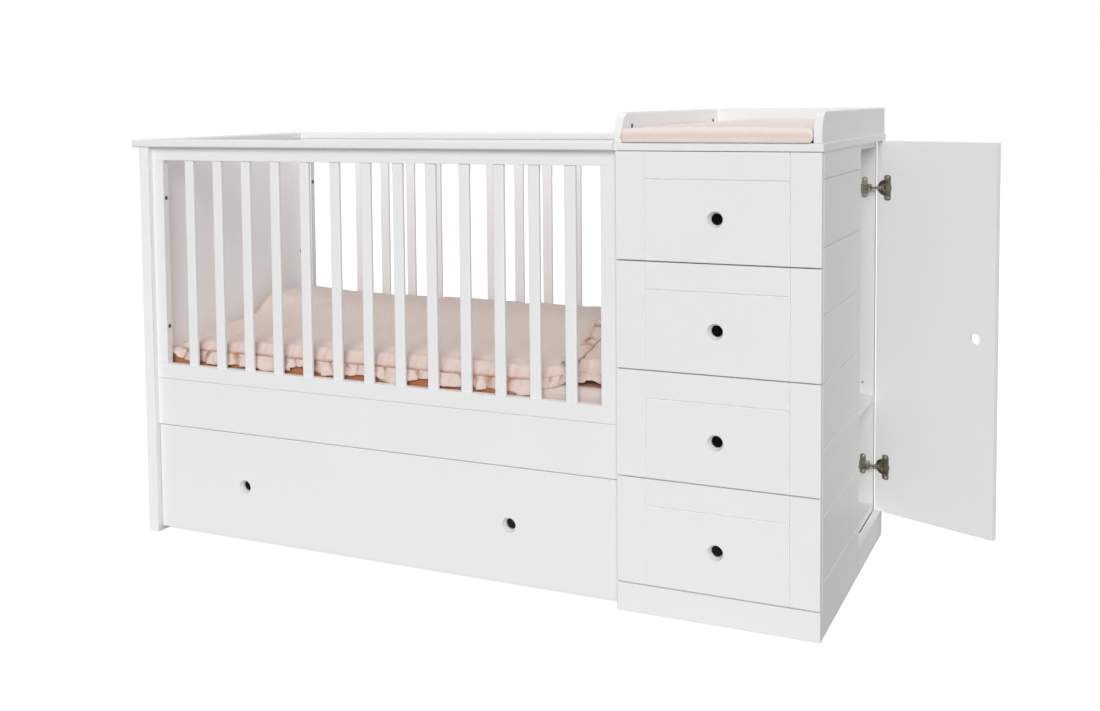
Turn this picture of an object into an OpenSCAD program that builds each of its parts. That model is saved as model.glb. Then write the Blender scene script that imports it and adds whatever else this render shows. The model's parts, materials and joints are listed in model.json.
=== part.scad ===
// Cot joined to a chest of drawers that carries a changing tray.
// The chest front stands at y = 0 before centring, its left face at x = 0, the floor at z = 0.
// Every piece is placed in those working coordinates and then moved, so that the origin of the
// finished model is the bottom centre of the object as it stands, with the cupboard door open.

/* [Chest of drawers] */
// Width of the drawer column
chest_w = 416; // [360:2:520]
// Depth of the chest from drawer fronts to rear wall
chest_d = 704; // [680:2:800]
// Height of the chest up to the changing tray
chest_h = 951; // [880:1:1050]
// Thickness of the chest boards
board_t = 16; // [14:1:19]
// Height of the plinth below the lowest drawer
plinth_h = 61; // [40:1:90]
// Distance from the drawer fronts to the rear edge of the grooved side
drawer_side_d = 400; // [360:2:440]
// Gap that keeps the drawer fronts off the carcass edges
carcass_gap = 2; // [1:0.5:4]
// Radius of the curved rear foot of the side plinth
plinth_round_r = 12; // [4:1:30]

/* [Drawers] */
// Thickness of every drawer front and of the crib frames
front_t = 18; // [16:1:22]
// Gap between neighbouring fronts
front_gap = 2.5; // [1.5:0.5:4]
// Setback of the drawer fronts from the chest's sides
front_side_gap = 0.5; // [0.5:0.1:2]
// Radius that eases the edges of the fronts
ease_r = 1.5; // [0.8:0.1:2.5]
// Thickness of the drawer box walls
box_wall_t = 12; // [10:1:15]
// Height of the drawer box walls
box_h = 150; // [110:5:170]
// Free space between a closed drawer box and the partition behind it
drawer_rear_gap = 26; // [6:1:60]
// Side clearance that takes the runners
runner_gap = 13; // [12.5:0.5:16]
// Thickness of the runner steel
runner_t = 1.5; // [1:0.1:2]
// Height of the runner's upright leg
runner_h = 30; // [20:1:40]
// Gap between a sliding piece and what guides it
slide_clearance = 0.4; // [0.3:0.1:1]
// Thickness of the drawer bottoms
bottom_t = 4; // [3:0.5:6]
// Depth of the groove that holds a drawer bottom
bottom_groove = 6; // [4:1:8]
// Height of the box edge below its bottom panel
bottom_lip = 10; // [6:1:16]
// Distance of the upright front grooves from the edges
panel_inset = 61.5; // [40:0.5:90]
// Height of the cross groove above the line below the drawer
cross_groove_z = 165; // [130:1:190]
// Width of the V grooves at the surface
groove_w = 4; // [3:0.5:8]
// Depth of the V grooves
groove_d = 3.5; // [1.5:0.5:4]
// Spacing of the cross grooves in the chest side
side_groove_pitch = 131; // [90:1:180]
// Height of the lowest cross groove in the chest side
side_groove_z = 111; // [80:1:130]
// Radius of the finger holes
finger_r = 12; // [8:0.5:13]
// Radius of the dished mouth of a finger hole
finger_mouth_r = 16.5; // [14:0.5:22]
// Depth of the dished mouth
finger_mouth_d = 12; // [6:0.5:14]
// Height of a finger hole above the line below the drawer
finger_z = 87.5; // [70:0.5:110]

/* [Cupboard] */
// Thickness of the cupboard door
door_t = 16; // [16:0.5:18]
// Gap between the closed door and the rear wall edge
door_gap = 2; // [2:0.5:3]
// Gap at the closed door's free edge
door_reveal = 3; // [1.5:0.5:4]
// Gap above and below the closed door
door_end_gap = 1.5; // [1:0.5:4]
// Angle at which the door stands open, in degrees
door_open = 66; // [0:1:84]
// Distance of the door's finger hole from its free edge
door_hole_inset = 48; // [35:1:80]
// Height of the door's finger hole
door_hole_z = 510; // [400:1:600]
// Height of the cupboard shelf's top face
shelf_z = 342; // [300:1:420]
// Setback of the shelf from the door
shelf_setback = 4; // [3:1:10]
// Radius of the shelf pins
shelf_pin_r = 2.5; // [2:0.1:3]
// Length of a shelf pin inside the cupboard
shelf_pin_l = 9; // [6:1:14]
// Height of the spare row of pin holes above the shelf
spare_hole_rise = 47; // [32:1:96]

/* [Concealed hinges] */
// Distance of each hinge from the door's top or bottom edge
hinge_inset = 110; // [90:1:160]
// Depth of the hinge cup
cup_depth = 11.5; // [11:0.1:11.5]
// Wall of the pressed cup
cup_wall_t = 0.4; // [0.4:0.05:0.5]
// Thickness of the cup's wings on the door
wing_t = 0.8; // [0.6:0.1:0.9]
// Height of the wing plate
wing_h = 60; // [54:1:70]
// Radius of the pins in the hinge
pin_r = 1.5; // [1.3:0.1:1.6]
// Running clearance round a pin
pin_clearance = 0.05; // [0.02:0.01:0.1]
// Clearance round the one pin that the linkage leaves loose
loose_clearance = 2.4; // [2.4:0.05:2.5]
// Height of the mounting plate on the rear wall
plate_h = 49; // [40:1:60]
// Width of the mounting plate
plate_w = 13; // [11:0.5:18]
// Thickness of the mounting plate
plate_t = 2; // [1.5:0.5:3]

/* [Changing tray] */
// Thickness of the tray base and walls
tray_t = 16; // [14:1:18]
// Overhang of the tray beyond the chest
tray_over = 2.5; // [1:0.5:5]
// Step from the edge of the tray base in to the outside of the tray walls
tray_step = 2.5; // [0.5:0.5:5]
// Height of the tray walls above the tray base
tray_wall_h = 61; // [45:1:90]
// Radius of the rounded front corner of a tray wall
tray_corner_r = 45; // [20:1:60]
// Radius that eases the upper edge of a tray wall
tray_edge_r = 3; // [1:0.5:5]
// Gap between the pad and the walls round it
pad_gap = 1.5; // [1:0.5:6]
// Height of the pad's edge
pad_edge_h = 24; // [18:1:35]
// Height of the pad's crown over its edge
pad_crown = 8; // [2:1:14]
// Bulge of the pad beyond the front of the tray
pad_bulge = 8.5; // [2:0.5:12]
// Droop of the pad's front edge below the tray base's top face
pad_droop = 3; // [0:0.5:6]
// Distance of the tray's bolts from the chest's front and rear lines
tray_bolt_inset = 58; // [30:1:120]
// Height of the tray's bolts above the tray base
tray_bolt_rise = 33; // [15:1:40]

/* [Crib] */
// Clear length between the end panel and the chest
crib_l = 1204; // [1124:2:1404]
// Thickness of the end panel
end_t = 28; // [22:1:36]
// How much shallower the end panel is than the chest
end_shortfall = 14; // [0:1:30]
// Setback of the crib frame from the chest front
frame_setback = 16; // [8:1:30]
// Height of the upper frame rail
top_rail_h = 32; // [24:1:50]
// Height of the lower frame rail
bottom_rail_h = 36; // [28:1:50]
// Top of the lower frame rail
bottom_rail_top = 420; // [380:1:460]
// Height of the apron board below the frame
apron_h = 115; // [90:1:140]
// Width of the fine line left between the front bottom rail and its apron
joint_line_w = 1.2; // [0.8:0.1:2]
// Depth of that line
joint_line_d = 2.5; // [1:0.5:4]
// Width of the frame's left stile
stile_left_w = 32; // [26:1:50]
// Width of the frame's right stile
stile_right_w = 38; // [26:1:50]
// Extra width of the first gap, beside the left stile
slat_left_extra = 6; // [0:0.5:20]
// Number of slats in a frame
slat_count = 13; // [11:1:15]
// Width of a slat
slat_w = 26; // [20:1:32]
// Thickness of a slat
slat_t = 10; // [8:0.5:13]
// Radius of the rounded slat edges
slat_edge_r = 3; // [1.5:0.5:3.5]
// Depth of the slat tenons in the rails
tenon_d = 8; // [5:1:12]
// Thickness of the handrail cap
cap_t = 18; // [14:1:22]
// Width of the cap over the frames
cap_w = 44; // [34:1:60]
// Width of the cap over the end panel
cap_end_w = 49; // [46:1:70]
// Overhang of the cap in front of the chest front line
cap_front_over = 5; // [2:1:8]
// Overhang of the cap beyond the end panel
cap_end_over = 16; // [8:1:24]
// Radius that rounds the cap's edges
cap_edge_r = 4; // [2:0.5:6]

/* [Bed] */
// Height of the mattress underside
mattress_z = 330; // [318:1:350]
// Thickness of the mattress
mattress_t = 120; // [90:5:130]
// Play between the mattress and the crib sides
mattress_play = 11; // [5:0.5:20]
// Play between the mattress and the crib ends
mattress_end_play = 4; // [2:0.5:10]
// Radius of the mattress edges
mattress_edge_r = 20; // [8:1:30]
// Thickness of a spring slat
base_slat_t = 8; // [6:1:12]
// Width of a spring slat
base_slat_w = 60; // [40:1:80]
// Number of spring slats
base_slat_count = 11; // [8:1:13]
// Section width of the bed rails
bed_rail_w = 26; // [20:1:40]
// Section height of the bed rails
bed_rail_h = 34; // [24:1:40]

/* [Bedding] */
// Thickness of the folded duvet over the rear half of the bed
duvet_h = 72; // [40:1:110]
// Thickness of the duvet at its front hem
duvet_front_h = 29; // [12:1:40]
// Hang of the duvet's front hem below the mattress top
duvet_drop = 24; // [10:1:27]
// Swell of the folds across the duvet
duvet_fold = 5; // [0:0.5:8]

/* [Under-bed drawer] */
// Clearance of the drawer front above the floor
under_clear = 12; // [8:1:20]
// Gap round the under-bed drawer front
under_gap = 2; // [1.5:0.5:5]
// Distance of each finger hole from the drawer front's end
under_hole_inset = 252; // [150:1:350]
// Height of the finger holes in the under-bed front
under_hole_z = 139; // [100:1:180]
// Thickness of the under-bed drawer's boards
under_board_t = 12; // [10:1:16]
// Free space behind the under-bed drawer, up to the back frame
under_rear_gap = 42; // [22:1:170]
// Height of the under-bed drawer's walls
under_wall_h = 168; // [120:2:190]
// Inset of the drawer walls from the ends of the front
under_inset = 30; // [20:1:60]
// Radius of the wheels
wheel_r = 20; // [16:0.5:22]
// Width of a wheel
wheel_w = 16; // [12:1:22]
// Radius of the wheel axles
axle_r = 3; // [2.5:0.1:4]
// Distance of the wheels from the corners of the drawer
wheel_inset = 70; // [60:1:120]

/* [Fastenings] */
// Radius of a bolt head
bolt_r = 5; // [4:0.5:7]
// Height of a bolt head over the board
bolt_h = 1.6; // [1:0.1:3]
// Distance of the frame's bolts from the lower and the upper rail
frame_bolt_inset = 92; // [30:1:200]
// Height of the single bolt in the end panel
panel_bolt_z = 628; // [500:1:800]
// Radius of a hinge screw head
screw_r = 3.4; // [2.8:0.1:3.6]
// Height of a hinge screw head
screw_h = 1; // [0.6:0.1:1.5]

/* [Hidden] */
$fn = 48;

paint = "white";
steel = "silver";
bronze = "dimgray";
cloth = "mistyrose";
cut = 1;
drawer_count = 4;

// Chest
drawer_pitch = (chest_h - plinth_h) / drawer_count;
carcass_y = front_t + carcass_gap;
inner_left = board_t;
inner_right = chest_w - board_t;
rear_wall_y = chest_d - board_t;
rear_edge_x = inner_right - door_gap;
partition_y = drawer_side_d - board_t;
carcass_floor = plinth_h + board_t;
carcass_roof = chest_h - board_t;
shelf_pin_inset = 26;
shelf_pin_z = shelf_z - board_t - shelf_pin_r;
shelf_x1 = rear_edge_x - shelf_setback + door_gap;

// Drawers
box_left = inner_left + runner_gap;
box_right = inner_right - runner_gap;
box_l = partition_y - drawer_rear_gap - front_t;
box_rise = 22;
finger_x = chest_w / 2;

// Cupboard door, in its closed place
door_inner_x = inner_right;
door_outer_x = inner_right + door_t;
door_front_y = drawer_side_d + door_reveal;
door_z0 = plinth_h + door_end_gap;
door_z1 = chest_h - door_end_gap;
hinge_z = [door_z0 + hinge_inset, door_z1 - hinge_inset];

// Cups: a standard bore, its centre measured from the door's rear edge, and the wings round it
cup_r = 17.5;
cup_centre = 20.5;
wing_rim = 1;
wing_inset = 28;
wing_y = chest_d - wing_inset;
wing_w = 18;
wing_screw_z = 24;
plate_screw_z = 18;

// Hinge linkage in plan, from the corner where the inside of the closed door meets the rear face
hinge_corner = [door_inner_x, chest_d];
arm_pivot_out = 4;
arm_pivot_fore = 31;
loose_pin_in = 12;
loose_pin_fore = 35.6;
door_pivot_out = 6.82;
door_pivot_fore = 12.15;
outer_pivot_out = 2;
outer_pivot_fore = 10;
eye_in = 12.75;
eye_fore = 36.44;
inner_bend_out = 8.3;
inner_bend_fore = 23;
outer_bend_out = 1;
outer_bend_fore = 24;
arm_pivot = hinge_corner + [arm_pivot_out, -arm_pivot_fore];
loose_pin = hinge_corner + [-loose_pin_in, -loose_pin_fore];
door_pivot = hinge_corner + [door_pivot_out, -door_pivot_fore];
outer_pivot = hinge_corner + [outer_pivot_out, -outer_pivot_fore];
loose_eye = hinge_corner + [-eye_in, -eye_fore];
inner_bend = hinge_corner + [inner_bend_out, -inner_bend_fore];
outer_bend = hinge_corner + [outer_bend_out, -outer_bend_fore];
inner_ratio = -0.3457;
outer_ratio = -0.9502;
swing_rest = door_open / (1 + inner_ratio);
inner_rest = inner_ratio * swing_rest;

function turned(v, a) = [v.x * cos(a) - v.y * sin(a), v.x * sin(a) + v.y * cos(a)];
door_pivot_rest = arm_pivot + turned(door_pivot - arm_pivot, inner_rest);
outer_pivot_rest = door_pivot_rest + turned(outer_pivot - door_pivot, door_open);
outer_rest = door_open + outer_ratio * swing_rest;
function door_point(p) = door_pivot_rest + turned(p - door_pivot, door_open);

// Heights of the link plates, measured from the middle of a hinge
web_half = 1;
inner_half = 3.2;
fork_gap = 1.3;
outer_near = 3.6;
outer_far = 5.6;
cheek_near = 6.2;
cheek_far = 8.2;
cheek_ahead = 5.5;
cheek_behind = 2.2;
stub_gap = 0.2;

// Widths and radii of the links
link_w = 4.6;
outer_w = 4.2;
boss_r = 3.2;
door_boss_r = 2.6;
outer_boss_r = 2.8;
eye_wall = 1.4;
knuckle = 0.15;
fork_reach = 7;
fork_depth = 5.5;

// Arms: measured from the inside of the closed door and from the rear face
arm_tail = 39;
arm_tip = 9;
arm_depth = 42;
arm_tail_h = 8;
arm_slope = 12;
arm_x0 = inner_right - arm_tail;
arm_x1 = inner_right - arm_tip;
arm_y0 = chest_d - arm_depth;
arm_y1 = rear_wall_y - plate_t;
plate_back = 7;
plate_x0 = arm_x0 + plate_back;
web_back = 4;
web_tail = [2, 2.2];
web_nose = [1.5, 2.6];

// Tray and pad
tray_z = chest_h + tray_t;
tray_left = -tray_over;
tray_right = chest_w + tray_over;
tray_front = -tray_over;
tray_inner_left = tray_left + tray_step + tray_t;
tray_inner_right = tray_right - tray_step - tray_t;
tray_rear = chest_d - tray_step;
pad_x0 = tray_inner_left + pad_gap;
pad_x1 = tray_inner_right - pad_gap;
pad_y0 = tray_front - pad_bulge;
pad_y1 = tray_rear - tray_t - pad_gap;
soft_gap = 0.3;
seam_share = 0.4;
pad_seam = tray_z + pad_edge_h * seam_share;
pad_nx = 16;
pad_ny = 26;
tray_bolt_y = [tray_bolt_inset, chest_d - tray_bolt_inset];
tray_bolt_z = tray_z + tray_bolt_rise;

// Crib
frame_y = frame_setback;
end_d = chest_d - end_shortfall;
crib_w = end_d - 2 * (frame_setback + front_t);
frame_back_y = frame_y + front_t + crib_w;
frame_bolt_z = [bottom_rail_top + frame_bolt_inset, chest_h - top_rail_h - frame_bolt_inset];
panel_bolt_inset = 10;
crib_left = -crib_l;
end_left = crib_left - end_t;
cap_left_x = end_left - cap_end_over;
cap_inner_x = cap_left_x + cap_end_w;
cap_end_gap = 0.5;
cap_right_x = tray_left - cap_end_gap;
cap_y0 = -cap_front_over;
cap_y1 = end_d + cap_front_over;
rail_top = chest_h;
rail_z = rail_top - top_rail_h;
bottom_rail_z = bottom_rail_top - bottom_rail_h;
apron_z = bottom_rail_z - apron_h;
slat_span = crib_l - stile_left_w - stile_right_w - slat_left_extra;
slat_gap = (slat_span - slat_count * slat_w) / (slat_count + 1);
slat_first = crib_left + stile_left_w + slat_left_extra + slat_gap;
slat_pitch = slat_w + slat_gap;
slat_inset = 3;
tenon_play = 0.2;

// Bed
bed_rail_top = mattress_z - base_slat_t;
mattress_x0 = crib_left + mattress_end_play;
mattress_x1 = -mattress_end_play;
mattress_y0 = frame_y + front_t + mattress_play;
mattress_y1 = frame_back_y - mattress_play;
mattress_top = mattress_z + mattress_t;
duvet_end_gap = 3;
duvet_front_gap = 2;
duvet_rear_gap = 4;
duvet_turn = 4;
duvet_x0 = crib_left + duvet_end_gap;
duvet_x1 = -duvet_end_gap;
duvet_y0 = frame_y + front_t + duvet_front_gap;
duvet_y1 = frame_back_y - duvet_rear_gap;
duvet_hang = (mattress_play - duvet_front_gap) * 0.6;
duvet_nx = 33;
duvet_rows = [0, 0.02, 0.07, 0.14, 0.22, 0.32, 0.43, 0.54, 0.64, 0.7, 0.78, 0.87, 0.94, 0.98, 1];

// Under-bed drawer
under_x0 = crib_left + under_gap;
under_x1 = -under_gap;
under_z1 = apron_z - under_gap;
under_box_x0 = under_x0 + under_inset;
under_box_x1 = under_x1 - under_inset;
under_box_y0 = frame_y + front_t;
under_box_y1 = frame_back_y - under_rear_gap;
bracket_t = 2;
bracket_play = 1;
bracket_w = wheel_w + 2 * bracket_play + 2 * bracket_t;
wheel_crown_gap = 6;
under_base_z = 2 * wheel_r + wheel_crown_gap + bracket_t;
axle_y = [under_box_y0 + wheel_inset, under_box_y1 - wheel_inset];
axle_x = [under_box_x0 + wheel_inset, under_box_x1 - wheel_inset];

// Box of the object at rest, and the shift that puts the origin at its bottom centre
door_tip = door_point([door_outer_x, door_front_y]);
centre = [(cap_left_x + max(door_tip.x, tray_right)) / 2, (min(pad_y0, cap_y0) + chest_d) / 2];

module placed() {
    translate([-centre.x, -centre.y, 0]) children();
}

module with_door() {
    translate([door_pivot_rest.x, door_pivot_rest.y, 0])
        rotate(door_open)
            translate([-door_pivot.x, -door_pivot.y, 0]) children();
}

// Plain board between two opposite corners
module board(from, to) {
    translate(from) cube(to - from);
}

// Rectangle whose corners on the low-y side are rounded
module eased_rect(w, d, r) {
    translate([r, 0]) square([w - 2 * r, d]);
    translate([0, r]) square([w, d - r]);
    for (x = [r, w - r]) translate([x, r]) circle(r);
}

// Rectangle with all corners rounded
module round_rect(w, d, r) {
    translate([r, 0]) square([w - 2 * r, d]);
    translate([0, r]) square([w, d - 2 * r]);
    for (x = [r, w - r], y = [r, d - r]) translate([x, y]) circle(r);
}

// Turns a drawing of (y, z) extruded upwards into a bar along x
module along_x() {
    rotate([90, 0, 90]) children();
}

// Turns a drawing of (x, z) extruded upwards into a bar that runs from y = 0 back to y = length
module along_y(length) {
    translate([0, length, 0]) rotate([90, 0, 0]) children();
}

// Front board whose four front edges are eased
module eased_front(from, to) {
    size = to - from;
    translate(from) intersection() {
        linear_extrude(size.z) eased_rect(size.x, size.y, ease_r);
        along_x() linear_extrude(size.x)
            rotate(-90) mirror([1, 0]) eased_rect(size.z, size.y, ease_r);
    }
}

// Finger hole through a board whose front face is at y = 0
module finger_hole(x, z, thickness) {
    translate([x, 0, z]) rotate([-90, 0, 0]) {
        translate([0, 0, -cut]) cylinder(h = thickness + 2 * cut, r = finger_r);
        cylinder(h = finger_mouth_d, r1 = finger_mouth_r, r2 = finger_r);
        translate([0, 0, -cut]) cylinder(h = cut, r = finger_mouth_r);
    }
}

// V groove outline: the surface is y = 0 and the groove reaches into +y
module v_groove() {
    half = groove_w / 2;
    polygon([[-half, 0], [-half, -cut], [half, -cut], [half, 0], [0, groove_d]]);
}

// Carcass of the chest ------------------------------------------------------------------------

module chest_left_panel() color(paint) placed()
    board([0, carcass_y, 0], [board_t, chest_d, chest_h]);

module chest_side_panel() color(paint) placed() difference() {
    board([inner_right, carcass_y, 0], [chest_w, drawer_side_d, chest_h]);
    for (z = [side_groove_z : side_groove_pitch : chest_h - groove_w])
        translate([chest_w, 0, z]) along_y(drawer_side_d + cut) linear_extrude(drawer_side_d)
            rotate(90) v_groove();
}

module chest_partition() color(paint) placed()
    board([inner_left, partition_y, carcass_floor], [inner_right, drawer_side_d, carcass_roof]);

module chest_back() color(paint) placed() difference() {
    board([inner_left, rear_wall_y, 0], [rear_edge_x, chest_d, chest_h]);
    shelf_pin_holes(rear_wall_y + shelf_pin_l);
}

// Blind holes for the shelf pins, in the rear wall
module shelf_pin_holes(depth_y) {
    for (x = [inner_left + shelf_pin_inset, rear_edge_x - shelf_pin_inset], n = [0 : 1])
        translate([x, depth_y, shelf_pin_z + n * spare_hole_rise]) rotate([90, 0, 0])
            cylinder(h = shelf_pin_l + cut, r = shelf_pin_r);
}

// Level board of the chest: it stops short of the door, but meets the grooved side
module level_board(z) {
    board([inner_left, carcass_y, z], [inner_right, drawer_side_d, z + board_t]);
    board([inner_left, drawer_side_d - cut, z], [rear_edge_x, rear_wall_y, z + board_t]);
}

module chest_top() color(paint) placed() level_board(carcass_roof);

module chest_bottom() color(paint) placed() level_board(plinth_h);

module plinth_front() color(paint) placed()
    eased_front([0, 0, 0], [chest_w, carcass_y, plinth_h - front_gap / 2]);

// Side plinth under the door, with its rear top corner rounded off
module plinth_side() color(paint) placed() {
    length = chest_d - drawer_side_d;
    r = plinth_round_r;
    translate([inner_right, drawer_side_d, 0]) along_x() linear_extrude(board_t) {
        square([length - r, plinth_h]);
        square([length, plinth_h - r]);
        translate([length - r, plinth_h - r]) circle(r);
    }
}

module shelf() color(paint) placed()
    board([inner_left + soft_gap, drawer_side_d + soft_gap, shelf_z - board_t],
          [shelf_x1, rear_wall_y - soft_gap, shelf_z]);

// Four pins: two in the rear wall and two in the partition, with the shelf lying on them
module shelf_pins() color(steel) placed() {
    for (x = [inner_left + shelf_pin_inset, rear_edge_x - shelf_pin_inset]) {
        translate([x, rear_wall_y + shelf_pin_l / 2, shelf_pin_z]) rotate([90, 0, 0])
            cylinder(h = shelf_pin_l * 1.5, r = shelf_pin_r);
        translate([x, drawer_side_d + shelf_pin_l, shelf_pin_z]) rotate([90, 0, 0])
            cylinder(h = shelf_pin_l, r = shelf_pin_r);
    }
}

// Drawers ---------------------------------------------------------------------------------------

function drawer_z(n) = plinth_h + n * drawer_pitch;

module drawer_front(n) color(paint) placed() difference() {
    z0 = drawer_z(n);
    eased_front([front_side_gap, 0, z0 + front_gap / 2],
                [chest_w - front_side_gap, front_t, z0 + drawer_pitch - front_gap / 2]);
    for (x = [panel_inset, chest_w - panel_inset])
        translate([x, 0, z0]) linear_extrude(drawer_pitch) v_groove();
    translate([panel_inset, 0, z0 + cross_groove_z]) along_x()
        linear_extrude(chest_w - 2 * panel_inset) rotate(-90) v_groove();
    finger_hole(finger_x, z0 + finger_z, front_t);
}

// Two sides and a rear wall, with the groove that carries the bottom panel
module drawer_box(n) color(paint) placed() difference() {
    z0 = drawer_z(n) + box_rise;
    y1 = front_t + box_l;
    groove_z = z0 + bottom_lip;
    board([box_left, front_t, z0], [box_right, y1, z0 + box_h]);
    board([box_left + box_wall_t, front_t - cut, z0 - cut],
          [box_right - box_wall_t, y1 - box_wall_t, z0 + box_h + cut]);
    board([box_left + box_wall_t - bottom_groove, front_t - cut, groove_z],
          [box_right - box_wall_t + bottom_groove, y1 - box_wall_t + bottom_groove,
           groove_z + bottom_t + tenon_play]);
}

module drawer_base(n) color(paint) placed() {
    edge = box_wall_t - bottom_groove + tenon_play;
    z = drawer_z(n) + box_rise + bottom_lip;
    board([box_left + edge, front_t, z], [box_right - edge, front_t + box_l - edge, z + bottom_t]);
}

// Angle runners screwed to the two sides: each drawer's sides slide on the level legs
module drawer_runners() color(steel) placed()
    for (n = [0 : drawer_count - 1], right = [0, 1]) {
        z = drawer_z(n) + box_rise - slide_clearance - runner_t;
        length = box_l - 2 * front_t;
        shift = right ? inner_right : inner_left;
        reach = runner_gap + box_wall_t - tenon_play;
        translate([shift, carcass_y, z]) mirror([right, 0, 0]) along_y(length)
            linear_extrude(length) {
                square([runner_t, runner_h]);
                square([reach, runner_t]);
            }
    }

// Cupboard door and its hinges --------------------------------------------------------------------

module door() color(paint) placed() with_door() difference() {
    translate([door_outer_x, door_front_y, door_z0]) rotate(90)
        eased_front([0, 0, 0], [chest_d - door_front_y, door_t, door_z1 - door_z0]);
    translate([door_outer_x, 0, 0]) rotate(90)
        finger_hole(door_front_y + door_hole_inset, door_hole_z, door_t);
    for (z = hinge_z) cup_place(z) cylinder(h = cup_depth, r = cup_r + pin_clearance);
}

// Axis of a cup, pointing from the inner face into the door
module cup_place(z) {
    translate([door_inner_x, chest_d - cup_centre, z]) rotate([0, 90, 0]) children();
}

// Bar between two points of the linkage plan, with round ends that stand a little proud of it
module link_bar(p, q, w) {
    d = q - p;
    translate(p) rotate(atan2(d.y, d.x)) translate([0, -w / 2]) square([norm(d), w]);
    for (e = [p, q]) translate(e) circle(w / 2 + knuckle);
}

// Repeats a plan drawing as two equal plates above and below the middle of each hinge
module plate_pair(near, far) {
    for (z = hinge_z, side = [near, -far])
        translate([0, 0, z + side]) linear_extrude(far - near) children();
}

module inner_link_plan(hole_r) difference() {
    union() {
        link_bar(arm_pivot, inner_bend, link_w);
        link_bar(inner_bend, door_pivot, link_w);
        translate(arm_pivot) circle(boss_r);
        translate(door_pivot) circle(door_boss_r);
    }
    for (p = [arm_pivot, door_pivot]) translate(p) circle(hole_r);
}

// Inner links: a fork at the arm end straddles the arm's web
module hinge_inner_links() color(bronze) placed()
    translate([arm_pivot.x, arm_pivot.y, 0]) rotate(inner_rest)
        translate([-arm_pivot.x, -arm_pivot.y, 0])
            for (z = hinge_z) difference() {
                translate([0, 0, z - inner_half]) linear_extrude(2 * inner_half)
                    inner_link_plan(pin_r + pin_clearance);
                translate([arm_pivot.x - fork_reach, arm_pivot.y - fork_reach, z - fork_gap])
                    cube([2 * fork_reach, fork_reach + fork_depth, 2 * fork_gap]);
            }

module hinge_outer_links() color(bronze) placed()
    translate([outer_pivot_rest.x, outer_pivot_rest.y, 0]) rotate(outer_rest)
        translate([-outer_pivot.x, -outer_pivot.y, 0])
            plate_pair(outer_near, outer_far) difference() {
                union() {
                    link_bar(loose_eye, outer_bend, outer_w);
                    link_bar(outer_bend, outer_pivot, outer_w);
                    translate(outer_pivot) circle(outer_boss_r);
                    translate(loose_eye) circle(pin_r + loose_clearance + eye_wall);
                }
                translate(outer_pivot) circle(pin_r + pin_clearance);
                translate(loose_eye) circle(pin_r + loose_clearance);
            }

// Mounting plates with their screw lobes, on the inside of the rear wall
module hinge_plates() color(bronze) placed()
    for (z = hinge_z)
        translate([plate_x0, arm_y1, z - plate_h / 2]) along_y(plate_t) linear_extrude(plate_t)
            round_rect(plate_w, plate_h, plate_w / 2 - 0.5);

// Arms: a channel over the plate, with the loose pin between its cheeks and the fixed pivot on
// a thin web that reaches into the fork of the inner link
module hinge_arms() color(bronze) placed()
    for (z = hinge_z) {
        board([arm_x0, arm_y1 - plate_t, z - cheek_far], [arm_x1, arm_y1, z + cheek_far]);
        for (side = [cheek_near, -cheek_far])
            translate([0, 0, z + side]) linear_extrude(cheek_far - cheek_near)
                polygon([[arm_x0, arm_y1], [arm_x0, arm_y1 - arm_tail_h], [arm_x1 - arm_slope, arm_y0],
                         [arm_x1, arm_y0], [arm_x1, arm_y1]]);
        translate([0, 0, z - web_half]) linear_extrude(2 * web_half) {
            polygon([[arm_x1 - arm_slope, arm_y1], [arm_x1 - arm_slope, arm_y1 - web_back],
                     arm_pivot - web_tail, arm_pivot + web_nose, [arm_x1, arm_y1]]);
            translate(arm_pivot) circle(boss_r - pin_clearance);
        }
        translate([arm_pivot.x, arm_pivot.y, z - inner_half])
            cylinder(h = 2 * inner_half, r = pin_r);
        translate([loose_pin.x, loose_pin.y, z - cheek_far])
            cylinder(h = 2 * cheek_far, r = pin_r);
    }

// Cups with their wings, the two cheeks inside, the through pin of the inner link and the two
// short pins of the outer link
module hinge_cups() color(bronze) placed() with_door()
    for (z = hinge_z) {
        inner_cup_r = cup_r - cup_wall_t;
        difference() {
            union() {
                cup_place(z) cylinder(h = cup_depth, r = cup_r);
                wing_plate(z);
            }
            cup_place(z) translate([0, 0, -cut - wing_t])
                cylinder(h = cup_depth + cut + wing_t - cup_wall_t, r = inner_cup_r);
            for (side = [-1, 1])
                translate([door_inner_x - wing_t - cut, wing_y, z + side * wing_screw_z])
                    rotate([0, 90, 0]) cylinder(h = wing_t + 2 * cut, r = screw_r / 2);
        }
        for (side = [cheek_near, -cheek_far])
            board([door_inner_x + cup_wall_t, outer_pivot.y - cheek_ahead, z + side],
                  [door_inner_x + cup_depth - cup_wall_t / 2, outer_pivot.y + cheek_behind,
                   z + side + cheek_far - cheek_near]);
        translate([door_pivot.x, door_pivot.y, z - cheek_far]) cylinder(h = 2 * cheek_far, r = pin_r);
        for (side = [inner_half + stub_gap, -cheek_far])
            translate([outer_pivot.x, outer_pivot.y, z + side])
                cylinder(h = cheek_far - inner_half - stub_gap, r = pin_r);
    }

// Flat plate round the mouth of a cup, with a wing above and one below
module wing_plate(z) {
    translate([door_inner_x - wing_t, 0, z]) {
        translate([0, chest_d - cup_centre, 0]) rotate([0, 90, 0])
            cylinder(h = wing_t, r = cup_r + wing_rim);
        translate([0, wing_y - wing_w / 2, -wing_h / 2]) along_x() linear_extrude(wing_t)
            round_rect(wing_w, wing_h, wing_w / 3);
    }
}

// Countersunk heads on the plates, two to a hinge
module plate_screws() color(steel) placed()
    for (z = hinge_z, side = [-1, 1])
        translate([plate_x0 + plate_w / 2, arm_y1, z + side * plate_screw_z]) rotate([90, 0, 0])
            screw_head();

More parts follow.
